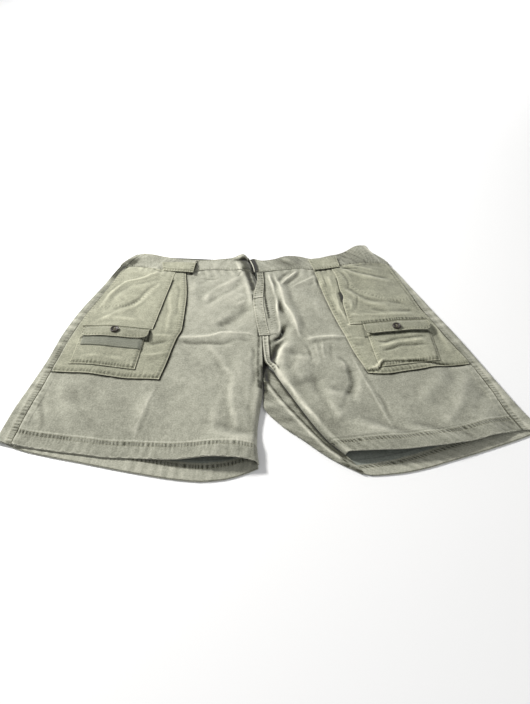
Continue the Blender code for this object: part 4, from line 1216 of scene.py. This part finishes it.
def soft_gathers(piece, edge, seed, depth=26.0, pitch=15.0, height=0.45):
    """Shallow folds that run into a seam and fade out away from it."""
    away, along = piece.away[edge], piece.along[edge]
    reach = depth * (0.7 + 0.3 * wander(along / 31, seed + 2))
    phase = 2 * math.pi * (along / pitch + 0.6 * wander(along / 35, seed))
    size = 0.5 + 0.5 * wander(along / 28, seed + 1)
    ripple = np.sin(phase) * size * bell(away, reach) * smoothstep((away + 1.5) / 3)
    piece.outward += height * ripple
    # Paler on the tops of the folds and darker between, partly wear and partly painted shade
    piece.tone += 0.22 * ripple


def crotch_seam(piece):
    """The doubled seam from the fly down to the crotch, along the right front's inner edge."""
    low = smoothstep((5 - piece.middle[..., 1]) / 8) * (1 - smoothstep((T - CROTCH_AT) / 0.03))
    piece.gathered("i", *CROTCH_PUCKERS, pitch=6.4, height=0.35, seed=31, reach=2.0, channel=-0.1, where=low)
    away = piece.away["i"]
    lines = sum(strength * bell(away - at, width) for at, width, strength in CROTCH_LINES)
    # Pale ridges, partly wear and partly painted highlight, and dark lines of painted shade in the seam's
    # grooves
    piece.tone += lines * low * (0.85 + 0.3 * wander(piece.along["i"] / 9, 38))
    piece.outward += 0.5 * lines * low
    # Paler along the crest of the rolled edge below the crotch, partly wear and partly painted highlight
    piece.tone += 0.5 * bell(away - 11, 4.5) * smoothstep((T - CROTCH_AT) / 0.04)


def back_grid(side):
    """The grid of a back panel, and how many of its columns are the folded strip and the flat part."""
    out = OUTWARDS[side]
    sx, sy = seam_line(side)
    radius = (SIDE_LIFT - CLOTH / 2) / 2
    hem_at_fold = follow(BACK_HEM[side], "x", "y", side_x(side, sy[-1]))
    fold_y = sy + (hem_at_fold - sy[-1]) * T**4
    out_x = side_x(side, fold_y) - out * radius
    across = spaced(BACK_WIDTH, BACK_COLUMNS)[None, :]
    if side == "left":
        inner_x, inner_y = inner_line("left")
        parts = []
        start = (inner_x - GAP / 2, inner_y)
    else:
        parts = folded_strip()
        fold_x, fold_line_y = inner_line("fold")
        start = (fold_x + fold_radius(), fold_line_y)
    x, y = cross(start, (out_x, fold_y), across, BACK_HEM[side])
    parts = [(px, py + y[:, :1] - start[1], pz) for px, py, pz in parts]
    strip = sum(part[0].shape[1] for part in parts)
    parts.append((x, y, CLOTH / 2 + 0 * x))
    turn = np.radians(np.linspace(0, 180, TURN_STEPS + 1)[1:-1])[None, :]
    turn_x = out_x + out * radius * np.sin(turn)
    turn_z = CLOTH / 2 + radius * (1 - np.cos(turn)) + 0 * turn_x
    over = np.linspace(0, 1, OVER_COLUMNS)[None, :]
    over_x = between(out_x, sx + out * GAP / 2, over)
    wrap = np.linspace(0, 1, turn.size + over.size + 1)[None, 1:]
    wrap_y = between(y[:, -1:], sy, wrap)
    turn_y, over_y = wrap_y[:, : turn.size], wrap_y[:, turn.size :]
    parts.append((turn_x, turn_y, turn_z + corner_rise(turn_x, turn_y) * (1 - np.cos(turn)) / 2))
    parts.append((over_x, over_y, SIDE_LIFT + corner_rise(over_x, over_y)))
    grid = np.stack([np.hstack([part[k] for part in parts]) for k in range(3)], axis=2)
    return grid, strip, across.size


def strip_widened():
    """0 at the waist, where the folded strip is narrow, and 1 in the leg."""
    return smoothstep((T - STRIP_FROM) / (STRIP_FULL - STRIP_FROM))


def fold_radius():
    return between(INNER_FOLD["seam"], INNER_FOLD["leg"], strip_widened())


def folded_strip():
    """The part of the right back that is folded over at the inside of the leg, and its turn."""
    fold_x, fold_y = inner_line("fold")
    front_x, front_y = inner_line("right")
    radius, widened = fold_radius(), strip_widened()
    start_x = fold_x + radius
    end_x = between(start_x + 2.0, front_x + 2.5, widened)
    end_y = between(fold_y, front_y - 1.5, widened)
    across = np.linspace(0, 1, STRIP_COLUMNS + 1)[None, :-1]
    strip_x = between(end_x, start_x, across)
    strip_y = between(end_y, fold_y, across)
    strip_z = CLOTH / 2 + 2 * radius + 0 * strip_x
    turn = np.radians(np.linspace(0, 180, TURN_STEPS + 1))[None, :-1]
    turn_x = start_x - radius * np.sin(turn)
    turn_z = CLOTH / 2 + radius * (1 + np.cos(turn)) + 0 * turn_x
    return (strip_x, strip_y, strip_z), (turn_x, fold_y + 0 * turn_x, turn_z)


def back_panel(side):
    """The piece, and the first column of its flat part."""
    grid, strip, flat = back_grid(side)
    piece = Piece("back_" + side[0], grid, outside_up=False)
    piece.tone = piece.tone * 0
    on_top = smoothstep((WRAP_SEEN - piece.away["o"]) / 8)
    piece.inward += HEM_RELIEF * hem_step()
    piece.turned_up = (1 - HEM_T) * LEG
    piece.gathered("b", *HEM_PUCKERS, pitch=6.0, height=0.45, seed=51, reach=7.0, channel=0.8, inside=True)
    hem_ripples(piece, 53, inside=True)
    below = smoothstep((LADDER_FROM[side] - piece.middle[..., 1]) / 70)
    piece.gathered("o", *SIDE_PUCKERS, pitch=5.6, height=0.42, seed=23, reach=4.0, channel=0.55, shade=0.8,
                   where=on_top * between(0.3, 1.0, below))
    # Along the edge of the wrap a painted shade groove, a paler line further in, and on the left darker
    # towards the waist
    groove_shade = 1.3 * bell(piece.away["o"], 1.2)
    pale_mix = 0.25 * bell(piece.away["o"] - 12, 3)
    grey = 0.0
    if side == "left":
        grey = between(0.12, 0.38, smoothstep((piece.middle[..., 1] - 90) / 60))
    piece.tone += (pale_mix - groove_shade - grey + 0.25 * wander(piece.along["o"] / 9, 57)) * on_top
    # On the inside, a painted shade line along the hem's edge and painted shade towards the waist
    piece.inside_tone -= 0.9 * bell(piece.away["b"], 1.3) + smoothstep((piece.middle[..., 1] - 100) / 60)
    if side == "right":
        folded_strip_wear_and_shade(piece)
    columns, end = np.arange(piece.middle.shape[1]), strip + flat
    outer = [columns[:strip], columns[strip:end:8], columns[end - 1 :], [0]]
    inner = [columns[:strip:4], columns[strip:end], columns[end::3], columns[-1:], [0]]
    hem_rows = np.flatnonzero(T[:, 0] > 0.80)
    piece.build(
        outer_columns=np.unique(np.concatenate(outer)),
        inner_rows=np.unique(np.concatenate([np.arange(0, hem_rows[0], 8), hem_rows])),
        inner_columns=np.unique(np.concatenate(inner)),
    )
    sew_rows("hems", piece, "b", HEM_SEWN, strip / columns.size, end / columns.size, inside=True)
    sew_rows("sides", piece, "o", SIDE_SEWN)
    return piece, strip


def folded_strip_wear_and_shade(piece):
    """The inseam, painted shadows and hem gathers of the strip that shows inside the right leg. The
    inseam's pale crest is partly wear and partly painted highlight.
    """
    x, y, away = piece.middle[..., 0], piece.middle[..., 1], piece.away["i"]
    strip = smoothstep((75 - away) / 10) * smoothstep((T - 0.52) / 0.04)
    inseam, _ = nearest_on(rounded_line(INSEAM), x, y)
    crest = np.exp(-(np.hypot(inseam, 0.8) - 0.8) / 1.6) * strip
    beside, _ = nearest_on(rounded_line(INSEAM) + np.array((4.5, 2.5)), x, y)
    piece.outward += 0.8 * crest - 0.4 * bell(beside, 1.6) * strip
    under, _ = nearest_on(np.hstack(inner_line("right"))[::6], x, y)
    piece.tone += strip * (
        0.9 * crest
        - 1.6 * bell(under, 3.2)
        - 0.7 * bell(beside, 1.5)
        - 0.12
        - 0.2 * smoothstep((-190 - y) / 40)
        + 0.3 * wander(piece.along["i"] / 13, 58)
        + 0.2 * wander(piece.along["i"] / 5 + away / 4, 59)
    )
    piece.gathered("b", *HEM_PUCKERS, pitch=6.0, height=0.4, seed=55, reach=4.0, channel=0.7, where=strip)
    piece.gathered("b", 1.5, 18.0, pitch=11.0, height=0.35, seed=56, reach=4.0, channel=0.0, where=strip)


# --- Waistband ------------------------------------------------------------------------------------

BAND_UP = spaced(40, 30, ((0, 3, 0.6), (36, 40, 0.8)))[:, None]  # the rows of the band, from its seam up


def band_points(seam):
    """Places in plan of a band that is sewn to the points of a seam."""
    x = seam[None, :, 0] + follow(BAND_LEAN, "x", "by", seam[:, 0]) * BAND_UP**LEAN_POWER
    on_floor = seam[:, 2] < CLOTH
    top_y = np.where(on_floor, follow(BACK_TOP, "x", "y", x[-1]), follow(WAIST_TOP, "x", "y", x[-1]))
    return x, between(seam[:, 1] + BAND_GAP, top_y, BAND_UP)


def band_gathers(piece, seed, strength):
    """The band is drawn up by elastic near the sides, and a little by its stitches everywhere."""
    away, along = piece.away["t"], piece.along["t"]
    inside = smoothstep(away / 5) * smoothstep(piece.away["b"] / 5)
    phase = 2 * math.pi * (along / 8.5 + 0.5 * wander(along / 21, seed)) + 0.05 * away
    size = (0.55 + 0.45 * wander(along / 13, seed + 1)) * strength
    ripple = np.sin(phase) * size
    piece.outward += 0.35 * ripple * inside
    rows = np.sin(2 * math.pi * (away / 3.4 + 0.2 * wander(along / 12, seed + 4)))
    # The gathers are paler on top, partly wear and partly painted highlight; the fine rows and the random
    # part are the band's own
    piece.tone += 0.12 * ripple * inside + 0.10 * rows + 0.14 * wander(along / 6 + away / 9, seed + 5)
    for edge in "tb":
        piece.gathered(edge, *BAND_PUCKERS, pitch=5.4, height=0.22, seed=seed + 3, reach=4.0, channel=0.5,
                       shade=0.6)


def fly_end(x, y):
    """The right end of the waistband reaches under the fly, and its top falls away there."""
    from_end = x - x[:, :1]
    x = x - FLY_END["reach"] * (1 - smoothstep(from_end / FLY_END["over"]))
    return x, y - FLY_END["drop"] * BAND_UP * (1 - smoothstep(from_end / FLY_END["drop_over"])) ** 2


def band_front(side, front):
    """The band in front, along the seam of a front."""
    seam = front.middle[0]
    x, y = band_points(seam)
    if side == "right":
        x, y = fly_end(x, y)
    z = front_height(x, y) + BAND_RAISE
    if side == "left":
        z = z - fly_dip(x, y)
    piece = Piece("waistband_front_" + side[0], np.stack([x, y, z], axis=2), half=BAND / 2)
    outer = OUTWARDS[side] * piece.middle[..., 0] - ELASTIC_FROM[side]
    band_gathers(piece, 61 + SIDES.index(side), 0.3 + 0.4 * smoothstep(outer / 30))
    piece.worn_edge("b", 1.8, 0.45)
    if side == "left":
        # Painted shade where the band's end folds away at the notch
        piece.tone -= 1.2 * smoothstep((9 - piece.away["i"]) / 6)
    else:
        # A painted highlight along the edge of the band's end under the fly, and painted shade on the part
        # tucked in beside it
        piece.tone += 3.2 * bell(piece.away["i"], 1.6) - 2.0 * smoothstep((12 - piece.away["i"]) / 6)
    piece.build()
    for edge, distance in BAND_SEWN:
        sew_rows("waist", piece, edge, (distance,), 0.01, 0.99)


def band_back(left, right, floor_from):
    """The band behind, along the seams of both backs, without the folded strip of the right one."""
    seam = np.concatenate([left.middle[0][::-1], right.middle[0][floor_from:]])
    x, y = band_points(seam)
    turned = np.clip((seam[:, 2] - CLOTH / 2) / (SIDE_LIFT - CLOTH / 2), 0, 1)
    z = BAND / 2 + turned * (SIDE_LIFT + BAND_RAISE - BAND / 2 + corner_rise(x, y))
    piece = Piece("waistband_back", np.stack([x, y, z], axis=2), half=BAND / 2, outside_up=False)
    piece.tone = piece.tone * 0 - 0.1
    at_sides = smoothstep((60 - np.minimum(piece.away["i"], piece.away["o"])) / 20)
    band_gathers(piece, 71, 0.3 + 0.8 * at_sides)
    piece.outward = np.where(piece.middle[..., 2] < BAND, np.minimum(piece.outward, BAND / 2), piece.outward)
    # Painted shade on the inside of the band
    piece.inside_tone -= 1.0
    piece.build(step=2)


# --- Pieces on the front --------------------------------------------------------------------------


def quad_grid(corners, down, across):
    """How far down each point of a four-cornered grid is, and its place in plan."""
    outer_top, inner_top, outer_low, inner_low = (np.array(corner, float) for corner in corners)
    down, across = down[:, None], across[None, :]
    inner = between(inner_top, inner_low, down[..., None])
    outer = between(outer_top, outer_low, down[..., None])
    points = between(inner, outer, across[..., None])
    return down + 0 * across, points[..., 0], points[..., 1]


def raised(name, x, y, slot, level, puffs=(), thickness=CLOTH):
    """A piece that lies at a level above the front, and puffs up away from some of its edges."""
    away = {
        "t": np.hypot(x - x[:1], y - y[:1]),
        "b": np.hypot(x - x[-1:], y - y[-1:]),
        "i": np.hypot(x - x[:, :1], y - y[:, :1]),
        "o": np.hypot(x - x[:, -1:], y - y[:, -1:]),
    }
    z = front_height(x, y) + level
    for rise, edges in puffs:
        for edge in edges:
            rise = rise * smoothstep(away[edge] / PUFF_RUN[edge])
        z = z + rise
    return Piece(name, np.stack([x, y, z], axis=2), slot, half=thickness / 2)


def belt_tunnel(side):
    down, x, y = quad_grid(TUNNEL_SEEN[side], spaced(42, 44), spaced(66, 60))
    top_foot = BAND_RAISE + BAND / 2 + LAYER + CLOTH / 2
    low_foot = ON_FRONT + 2 * (CLOTH + LAYER) + TUNNEL_ROOM
    arch = ARCH_LEFT[side] * TUNNEL_ARCH * smoothstep(np.minimum(down, 1 - down) / TUNNEL_FOOT)
    level = np.maximum(top_foot + arch, between(top_foot, low_foot, smoothstep(down)))
    piece = raised("belt_tunnel_" + side[0], x, y, "pocket_twill", level)
    sag = wander(piece.along["t"] / 14, 81) * wander(piece.along["i"] / 11, 82)
    piece.outward += 0.3 * sag
    # Paler where the tunnel sags up and darker where it sags down, partly wear and partly painted shade
    piece.tone += 0.3 * sag
    for edge in "tb":
        piece.gathered(edge, 1.5, 5.0, pitch=5.5, height=0.25, seed=83, reach=4.0, channel=0.4)
    for edge in "io":
        piece.gathered(edge, 1.5, 5.0, pitch=5.5, height=0.18, seed=84, reach=3.0, channel=0.3)
    piece.worn_edge("tbio", 1.2, 0.4)
    piece.build()
    sew_rows("waist", piece, "tbio", (2.4,), 0.05, 0.95)


def cargo_panel(side):
    outermost = 0 if side == "left" else -1
    low = {"inner": CARGO_INNER[side]["y"][-1], "outer": CARGO_BOTTOM[side]["y"][outermost]}
    down = spaced(290, 196, ((276, 290, 0.8),))[:, None]
    across = spaced(170, 150, ((0, 14, 0.8),))[None, :]
    inner_y = between(PANEL_TOP["inner"], low["inner"], down)
    outer_y = between(PANEL_TOP["outer"], low["outer"], down)
    inner_x = follow(CARGO_INNER[side], "y", "x", inner_y)
    outer_x = seam_x(side, outer_y) - OUTWARDS[side] * FELL_WIDTH / 3
    x, y = cross((inner_x, inner_y), (outer_x, outer_y), across, CARGO_BOTTOM[side], down, 3,
                 BELOW_WAIST["panel"])
    piece = raised("cargo_panel_" + side[0], x, y, "pocket_twill", ON_FRONT, ((PANEL_PUFF, "tbi"),))
    seed = 91 + SIDES.index(side)
    piece.gathered("i", 1.8, 8.6, pitch=7.0, height=0.20, seed=seed, reach=8.0, channel=0.25, shade=0.4)
    piece.gathered("b", 1.8, 8.2, pitch=6.6, height=0.36, seed=seed + 2, reach=7.0, channel=0.7, shade=0.5)
    soft_gathers(piece, "o", 23, depth=14.0, pitch=6.6, height=0.3)
    soft_gathers(piece, "t", seed + 4)
    piece.worn_edge("ib", 1.5, 0.5)
    piece.build()
    sew_rows("cargo", piece, "i", (2.0, 8.2), start=0.03)
    sew_rows("cargo", piece, "b", (2.0, 8.2))


def hip_panel(side):
    outer_top, inner_top = FLAP[side][:2]
    flap_line = dict(zip(("x", "y"), zip(outer_top, inner_top)))
    down = spaced(180, 130)[:, None]
    across = spaced(130, 108, ((0, 12, 0.6),))[None, :]
    inner_y = between(SLIT_TOP, inner_top[1] + ABOVE_FLAP, down)
    outer_y = between(PANEL_TOP["outer"], outer_top[1] + ABOVE_FLAP, down)
    inner_x = follow(SLIT[side], "y", "x", inner_y)
    if side == "right":
        inner_x = inner_x + SLIT_GAPE["width"] * bell(inner_y - SLIT_GAPE["y"], SLIT_GAPE["length"])
    outer_x = seam_x(side, outer_y) - OUTWARDS[side] * FELL_WIDTH
    x, y = cross((inner_x, inner_y), (outer_x, outer_y), across, flap_line, down, 3, BELOW_WAIST["hip"],
                 ABOVE_FLAP)
    level = ON_FRONT + CLOTH + LAYER
    puffs = ((PANEL_PUFF, "t"), (HIP_PUFF, "ti"))
    piece = raised("hip_panel_" + side[0], x, y, "pocket_twill", level, puffs)
    seed = 101 + SIDES.index(side)
    flap_reach = smoothstep((OUTWARDS[side] * (piece.middle[..., 0] - inner_top[0]) + 10) / 10)
    piece.gathered("i", 1.5, 6.5, pitch=7.0, height=0.16, seed=seed, reach=7.0, channel=0.1, shade=0.4)
    if side == "right":
        piece.gathered("b", 0.5, 7.0, pitch=5.6, height=0.45, seed=seed + 2, reach=5.0, channel=1.0,
                       where=flap_reach)
    soft_gathers(piece, "t", seed + 4, height=0.6)
    piece.worn_edge("i", 1.4, 0.6)
    flat_top = smoothstep((piece.middle[..., 1] - 148) / 20) * bell(piece.away["i"], 8)
    flat_low = (1 - flap_reach) * bell(piece.away["b"], 8) if side == "right" else 0.0
    piece.outward -= 0.45 * np.maximum(flat_top, flat_low)
    # A painted highlight along the low edge beside the flap, which lightens the shadow of that edge
    piece.tone += 0.25 * flat_low * (piece.away["b"] < 3)
    piece.build()
    sew_rows("cargo", piece, "i", (1.8, 6.4), 0.02, 0.98)
    if side == "right":
        sew_rows("cargo", piece, "b", (1.2, 6.8), start=0.14)


def cargo_pocket(side):
    _, x, y = quad_grid(POCKET[side], spaced(78, 84), spaced(113, 112))
    piece = raised("cargo_pocket_" + side[0], x, y, "pocket_twill", ON_PANEL, ((POCKET_PUFF, "bio"),))
    seed = 111 + SIDES.index(side)
    piece.gathered("b", 1.8, 8.0, pitch=5.8, height=0.36, seed=seed, reach=6.0, channel=0.8, shade=0.55)
    for edge, more in (("i", 2), ("o", 4)):
        piece.gathered(edge, 1.8, 6.5, pitch=5.8, height=0.24, seed=seed + more, reach=6.0, channel=0.6,
                       shade=0.45)
    piece.worn_edge("bio", 1.4, 0.4)
    piece.build()
    sew_rows("cargo", piece, "b", (2.0, 7.8))
    sew_rows("cargo", piece, "io", (2.0, 6.3))


def pocket_tape():
    across = spaced(108, 96) * TAPE_SHARE + (1 - TAPE_SHARE) / 2
    _, x, y = quad_grid(POCKET_TAPE, spaced(26, 26), across)
    puffs = ((POCKET_PUFF, "io"),)
    piece = raised("pocket_tape_l", x, y, "tape", ON_POCKET - POCKET_PUFF, puffs, thickness=TAPE)
    piece.tone += 0.10 * np.sin(piece.away["t"] * 2 * math.pi / TAPE_RIBS)
    piece.build(step=2)
    sew_rows("cargo", piece, "tb", (1.8,))


def flap_level(side, down):
    """The flap climbs from its seam onto the pocket and the tape, and lifts a little at its free edge."""
    climb = smoothstep(down / FLAP_CLIMB)
    return between(ON_PANEL + HIP_PUFF, ON_TAPE, climb) + FLAP_LIFT[side] * down**1.5


def flap(side):
    across = spaced(116, 118)
    down, x, y = quad_grid(FLAP[side], spaced(33, 40, ((27, 33, 0.5),)), across)
    from_side = np.minimum(across, 1 - across) / FLAP_CORNER
    rounded = 1 - np.sqrt(1 - (1 - np.minimum(from_side, 1)) ** 2)
    y = y[0] + (y - y[0]) * (1 - CORNER_CUT * rounded)
    piece = raised("flap_" + side[0], x, y, "pocket_twill", flap_level(side, down))
    seed = 121 + SIDES.index(side)
    for edge, channel in (("t", 0.7), ("b", 0.25), ("i", 0.2), ("o", 0.2)):
        piece.gathered(edge, 1.6, 5.6, pitch=5.6, height=0.2, seed=seed, reach=4.0, channel=channel,
                       shade=0.5)
    piece.tone -= 0.15
    piece.worn_edge("bio", 1.3, 0.5)
    piece.build(step=2)
    sew_rows("cargo", piece, "tbio", (1.8, 5.4), 0.04, 0.96)


def fly_placket():
    across = np.linspace(0, 1, 22)[None, :]
    y = between(FLY_TOP, FLY_BOTTOM, spaced(186, 150)[:, None]) + 0 * across
    drawn_in = PLACKET_DRAWN_IN * smoothstep((y - 115) / 55)
    x = follow(FLY_LEFT, "y", "x", y) + drawn_in + (FLY_WIDTH - 1.4 * drawn_in) * across
    piece = raised("fly_placket", x, y, "twill", CLOTH + LAYER)
    piece.gathered("i", 1.4, 4.4, pitch=7.0, height=0.2, seed=131, reach=3.0, channel=0.2)
    piece.gathered("o", 1.4, 4.4, pitch=7.0, height=0.2, seed=132, reach=3.0, channel=0.2)
    piece.worn_edge("io", 1.2, 0.5)
    above_bar = y - PLACKET_BAR - 5 * across
    bar = bell(above_bar, 1.6)
    piece.outward += 0.4 * bar
    # A pale raised bar with a painted shade line just below it; above the bar the placket is painted darker
    # towards the top, as shade in the notch
    piece.tone += 0.6 * bar - 1.2 * bell(above_bar + 3.4, 1.3)
    piece.tone += 0.14 * wander(y / 15 + across * 2, 133) - 0.35 * smoothstep(above_bar / 30)
    piece.build(step=2)
    sew_rows("fly", piece, "io", (2.0,))


# --- Buttons --------------------------------------------------------------------------------------

BUTTON_PROFILE = (  # radius and height as shares of the button's
    (0.00, 0.10), (0.60, 0.02), (0.84, 0.00), (0.95, 0.12), (1.00, 0.35), (1.00, 0.60), (0.97, 0.82),
    (0.90, 0.96), (0.82, 1.00), (0.74, 0.94), (0.68, 0.80), (0.62, 0.70), (0.50, 0.66), (0.36, 0.65),
    (0.24, 0.65), (0.12, 0.65), (0.00, 0.65),
)
BUTTON_SIDES = 64
BUTTON_DISH, BUTTON_FOOT = 0.65, 0.10  # heights of its middle on top and below, as shares
HOLE_AT, HOLE_RADIUS, HOLE_DEPTH = 1.55, 0.95, 1.3
# The thread from hole to hole: place as a share of HOLE_AT, and height over the dish
THREAD_ARCH = ((-1, -0.5), (-0.8, 0.30), (0, 0.45), (0.8, 0.30), (1, -0.5))
THREAD_WIDTH, THREAD_SIDES, THREAD_APART = 0.55, 8, 0.32


def button(side):
    cx, cy = BUTTON_AT[side]
    node = "button_" + side[0]
    (_, _, base), (_, _, top) = (np.array(corner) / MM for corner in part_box(node))
    height = top - base
    profile = []
    for (r0, z0), (r1, z1) in zip(BUTTON_PROFILE, BUTTON_PROFILE[1:]):
        profile += [(r0, z0), (between(r0, r1, 0.5), between(z0, z1, 0.5))]
    turn = np.linspace(0, 2 * math.pi, BUTTON_SIDES, endpoint=False)
    points = []
    for radius, level in profile[1:]:
        x = cx + BUTTON_RADIUS * radius * np.cos(turn)
        y = cy + BUTTON_RADIUS * radius * np.sin(turn)
        z = base + height * level + 0 * x
        in_dish = level >= 0.6 and radius < 0.6
        if in_dish:
            for hx in (-HOLE_AT, HOLE_AT):
                for hy in (-HOLE_AT, HOLE_AT):
                    off = np.hypot(x - cx - hx, y - cy - hy)
                    z = z - HOLE_DEPTH * smoothstep((HOLE_RADIUS - off) / 0.35 + 0.5)
        points.append(np.stack([x, y, z], axis=1))
    rings = np.arange(len(points) * BUTTON_SIDES).reshape(-1, BUTTON_SIDES)
    rings = np.hstack([rings, rings[:, :1]])
    foot, dish = rings.max() + 1, rings.max() + 2
    points.append([[cx, cy, base + height * BUTTON_FOOT], [cx, cy, base + height * BUTTON_DISH]])
    faces = quads(rings)
    for k in range(BUTTON_SIDES):
        faces.append((foot, rings[0, k + 1], rings[0, k]))
        faces.append((dish, rings[-1, k], rings[-1, k + 1]))
    points = np.concatenate(points)
    if volume(points, faces) < 0:
        faces = [face[::-1] for face in faces]
    made = mesh_object(node + "_disc", points, faces, "button")
    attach(made, "root")
    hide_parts(node)
    middle = base + height * BUTTON_DISH
    threads = []
    for hy in (-HOLE_AT, HOLE_AT):
        for shift in (-THREAD_APART, THREAD_APART):
            threads.append([(cx + HOLE_AT * hx, cy + hy + shift, middle + rise) for hx, rise in THREAD_ARCH])
    build_bars(node, np.array(threads))


def build_bars(node, lines):
    """Threads through a button's holes, as thin tubes."""
    points, faces = [], []
    for line in lines:
        run = unit(np.gradient(line, axis=0))
        side = unit(np.cross(run, (0.0, 0.0, 1.0)))
        up = np.cross(side, run)
        rings = len(points) + np.arange(len(line) * THREAD_SIDES).reshape(-1, THREAD_SIDES)
        for k in range(len(line)):
            for turn in np.linspace(0, 2 * math.pi, THREAD_SIDES, endpoint=False):
                reach = math.cos(turn) * side[k] + math.sin(turn) * up[k]
                points.append(line[k] + THREAD_WIDTH / 2 * reach)
        faces += quads(np.hstack([rings, rings[:, :1]]))
        faces += [rings[0, ::-1].tolist(), rings[-1].tolist()]
    made = mesh_object(node + "_thread", np.array(points), faces, "thread")
    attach(made, "root")


# --- Studio ---------------------------------------------------------------------------------------


# Name, place, what it is turned to, diameter, power and tint, in metres and watts
LIGHTS = (
    ("key", (-1.6, 0.95, 1.4), (0, 0, 0), 0.4, 75, (1.0, 0.99, 0.972)),
    ("fill", (1.6, -1.2, 1.6), (0, 0, 0), 1.6, 6, (0.93, 0.97, 1.0)),
)
# Lights the floor far behind the garment, and is too narrow to reach the garment itself
BEHIND = ("behind", (0.2, 3.1, 1.7), (0.2, 3.1, 0), 2.8, 42, (1.0, 1.0, 1.0))
BEHIND_SPREAD = 110
WORLD_LIGHT = 0.44
CAMERA_AT, CAMERA_TURN = (-0.00907, -0.67325, 0.630), 46  # metres, and degrees up from straight down
FOCAL_PIXELS, PHOTO_HEIGHT = 529, 704  # solved from the photo
SENSOR = 36.0
FLOOR_HALF, FLOOR_Z, FLOOR_COLOUR = 4.0, -0.0004, (0.86, 0.86, 0.86, 1.0)


def area_light(name, place, target, size, power, tint):
    light = bpy.data.lights.new(name, "AREA")
    light.shape = "DISK"
    light.size = size
    light.energy = power
    light.color = tint
    made = bpy.data.objects.new(name, light)
    made.location = place
    made.rotation_euler = (Vector(target) - Vector(place)).to_track_quat("-Z", "Y").to_euler()
    bpy.context.scene.collection.objects.link(made)
    return made


def studio():
    """Camera, lights and floor, in metres."""
    scene = bpy.context.scene
    scene.view_settings.view_transform = "Standard"
    camera = bpy.data.objects.new("camera", bpy.data.cameras.new("camera"))
    camera.location = CAMERA_AT
    camera.rotation_euler = (math.radians(CAMERA_TURN), 0, 0)
    camera.data.sensor_width = SENSOR
    camera.data.lens = SENSOR * FOCAL_PIXELS / PHOTO_HEIGHT
    camera.data.clip_start = 0.01
    scene.collection.objects.link(camera)
    scene.camera = camera
    world = bpy.data.worlds.new("studio")
    world.use_nodes = True
    background = world.node_tree.nodes["Background"]
    background.inputs[0].default_value = (1.0, 1.0, 1.0, 1.0)
    background.inputs[1].default_value = WORLD_LIGHT
    scene.world = world
    for light in LIGHTS:
        area_light(*light)
    behind = area_light(*BEHIND)
    behind.data.spread = math.radians(BEHIND_SPREAD)
    behind.visible_camera = False
    mesh = bpy.data.meshes.new("floor")
    corners = [(x * FLOOR_HALF, y * FLOOR_HALF, 0) for x, y in ((-1, -1), (1, -1), (1, 1), (-1, 1))]
    mesh.from_pydata(corners, [], [(0, 1, 2, 3)])
    floor = bpy.data.objects.new("floor", mesh)
    floor.location.z = FLOOR_Z
    scene.collection.objects.link(floor)
    paper = Nodes("paper")
    paper.shader.inputs["Base Color"].default_value = FLOOR_COLOUR
    paper.shader.inputs["Roughness"].default_value = 0.9
    mesh.materials.append(paper.material)


def main():
    studio()
    backs = {}
    for side in SIDES:
        front = front_panel(side)
        backs[side] = back_panel(side)
        band_front(side, front)
        belt_tunnel(side)
        cargo_panel(side)
        hip_panel(side)
        cargo_pocket(side)
        flap(side)
        button(side)
    band_back(backs["left"][0], *backs["right"])
    fly_placket()
    pocket_tape()
    for group in THREADS:
        build_threads(group)


main()
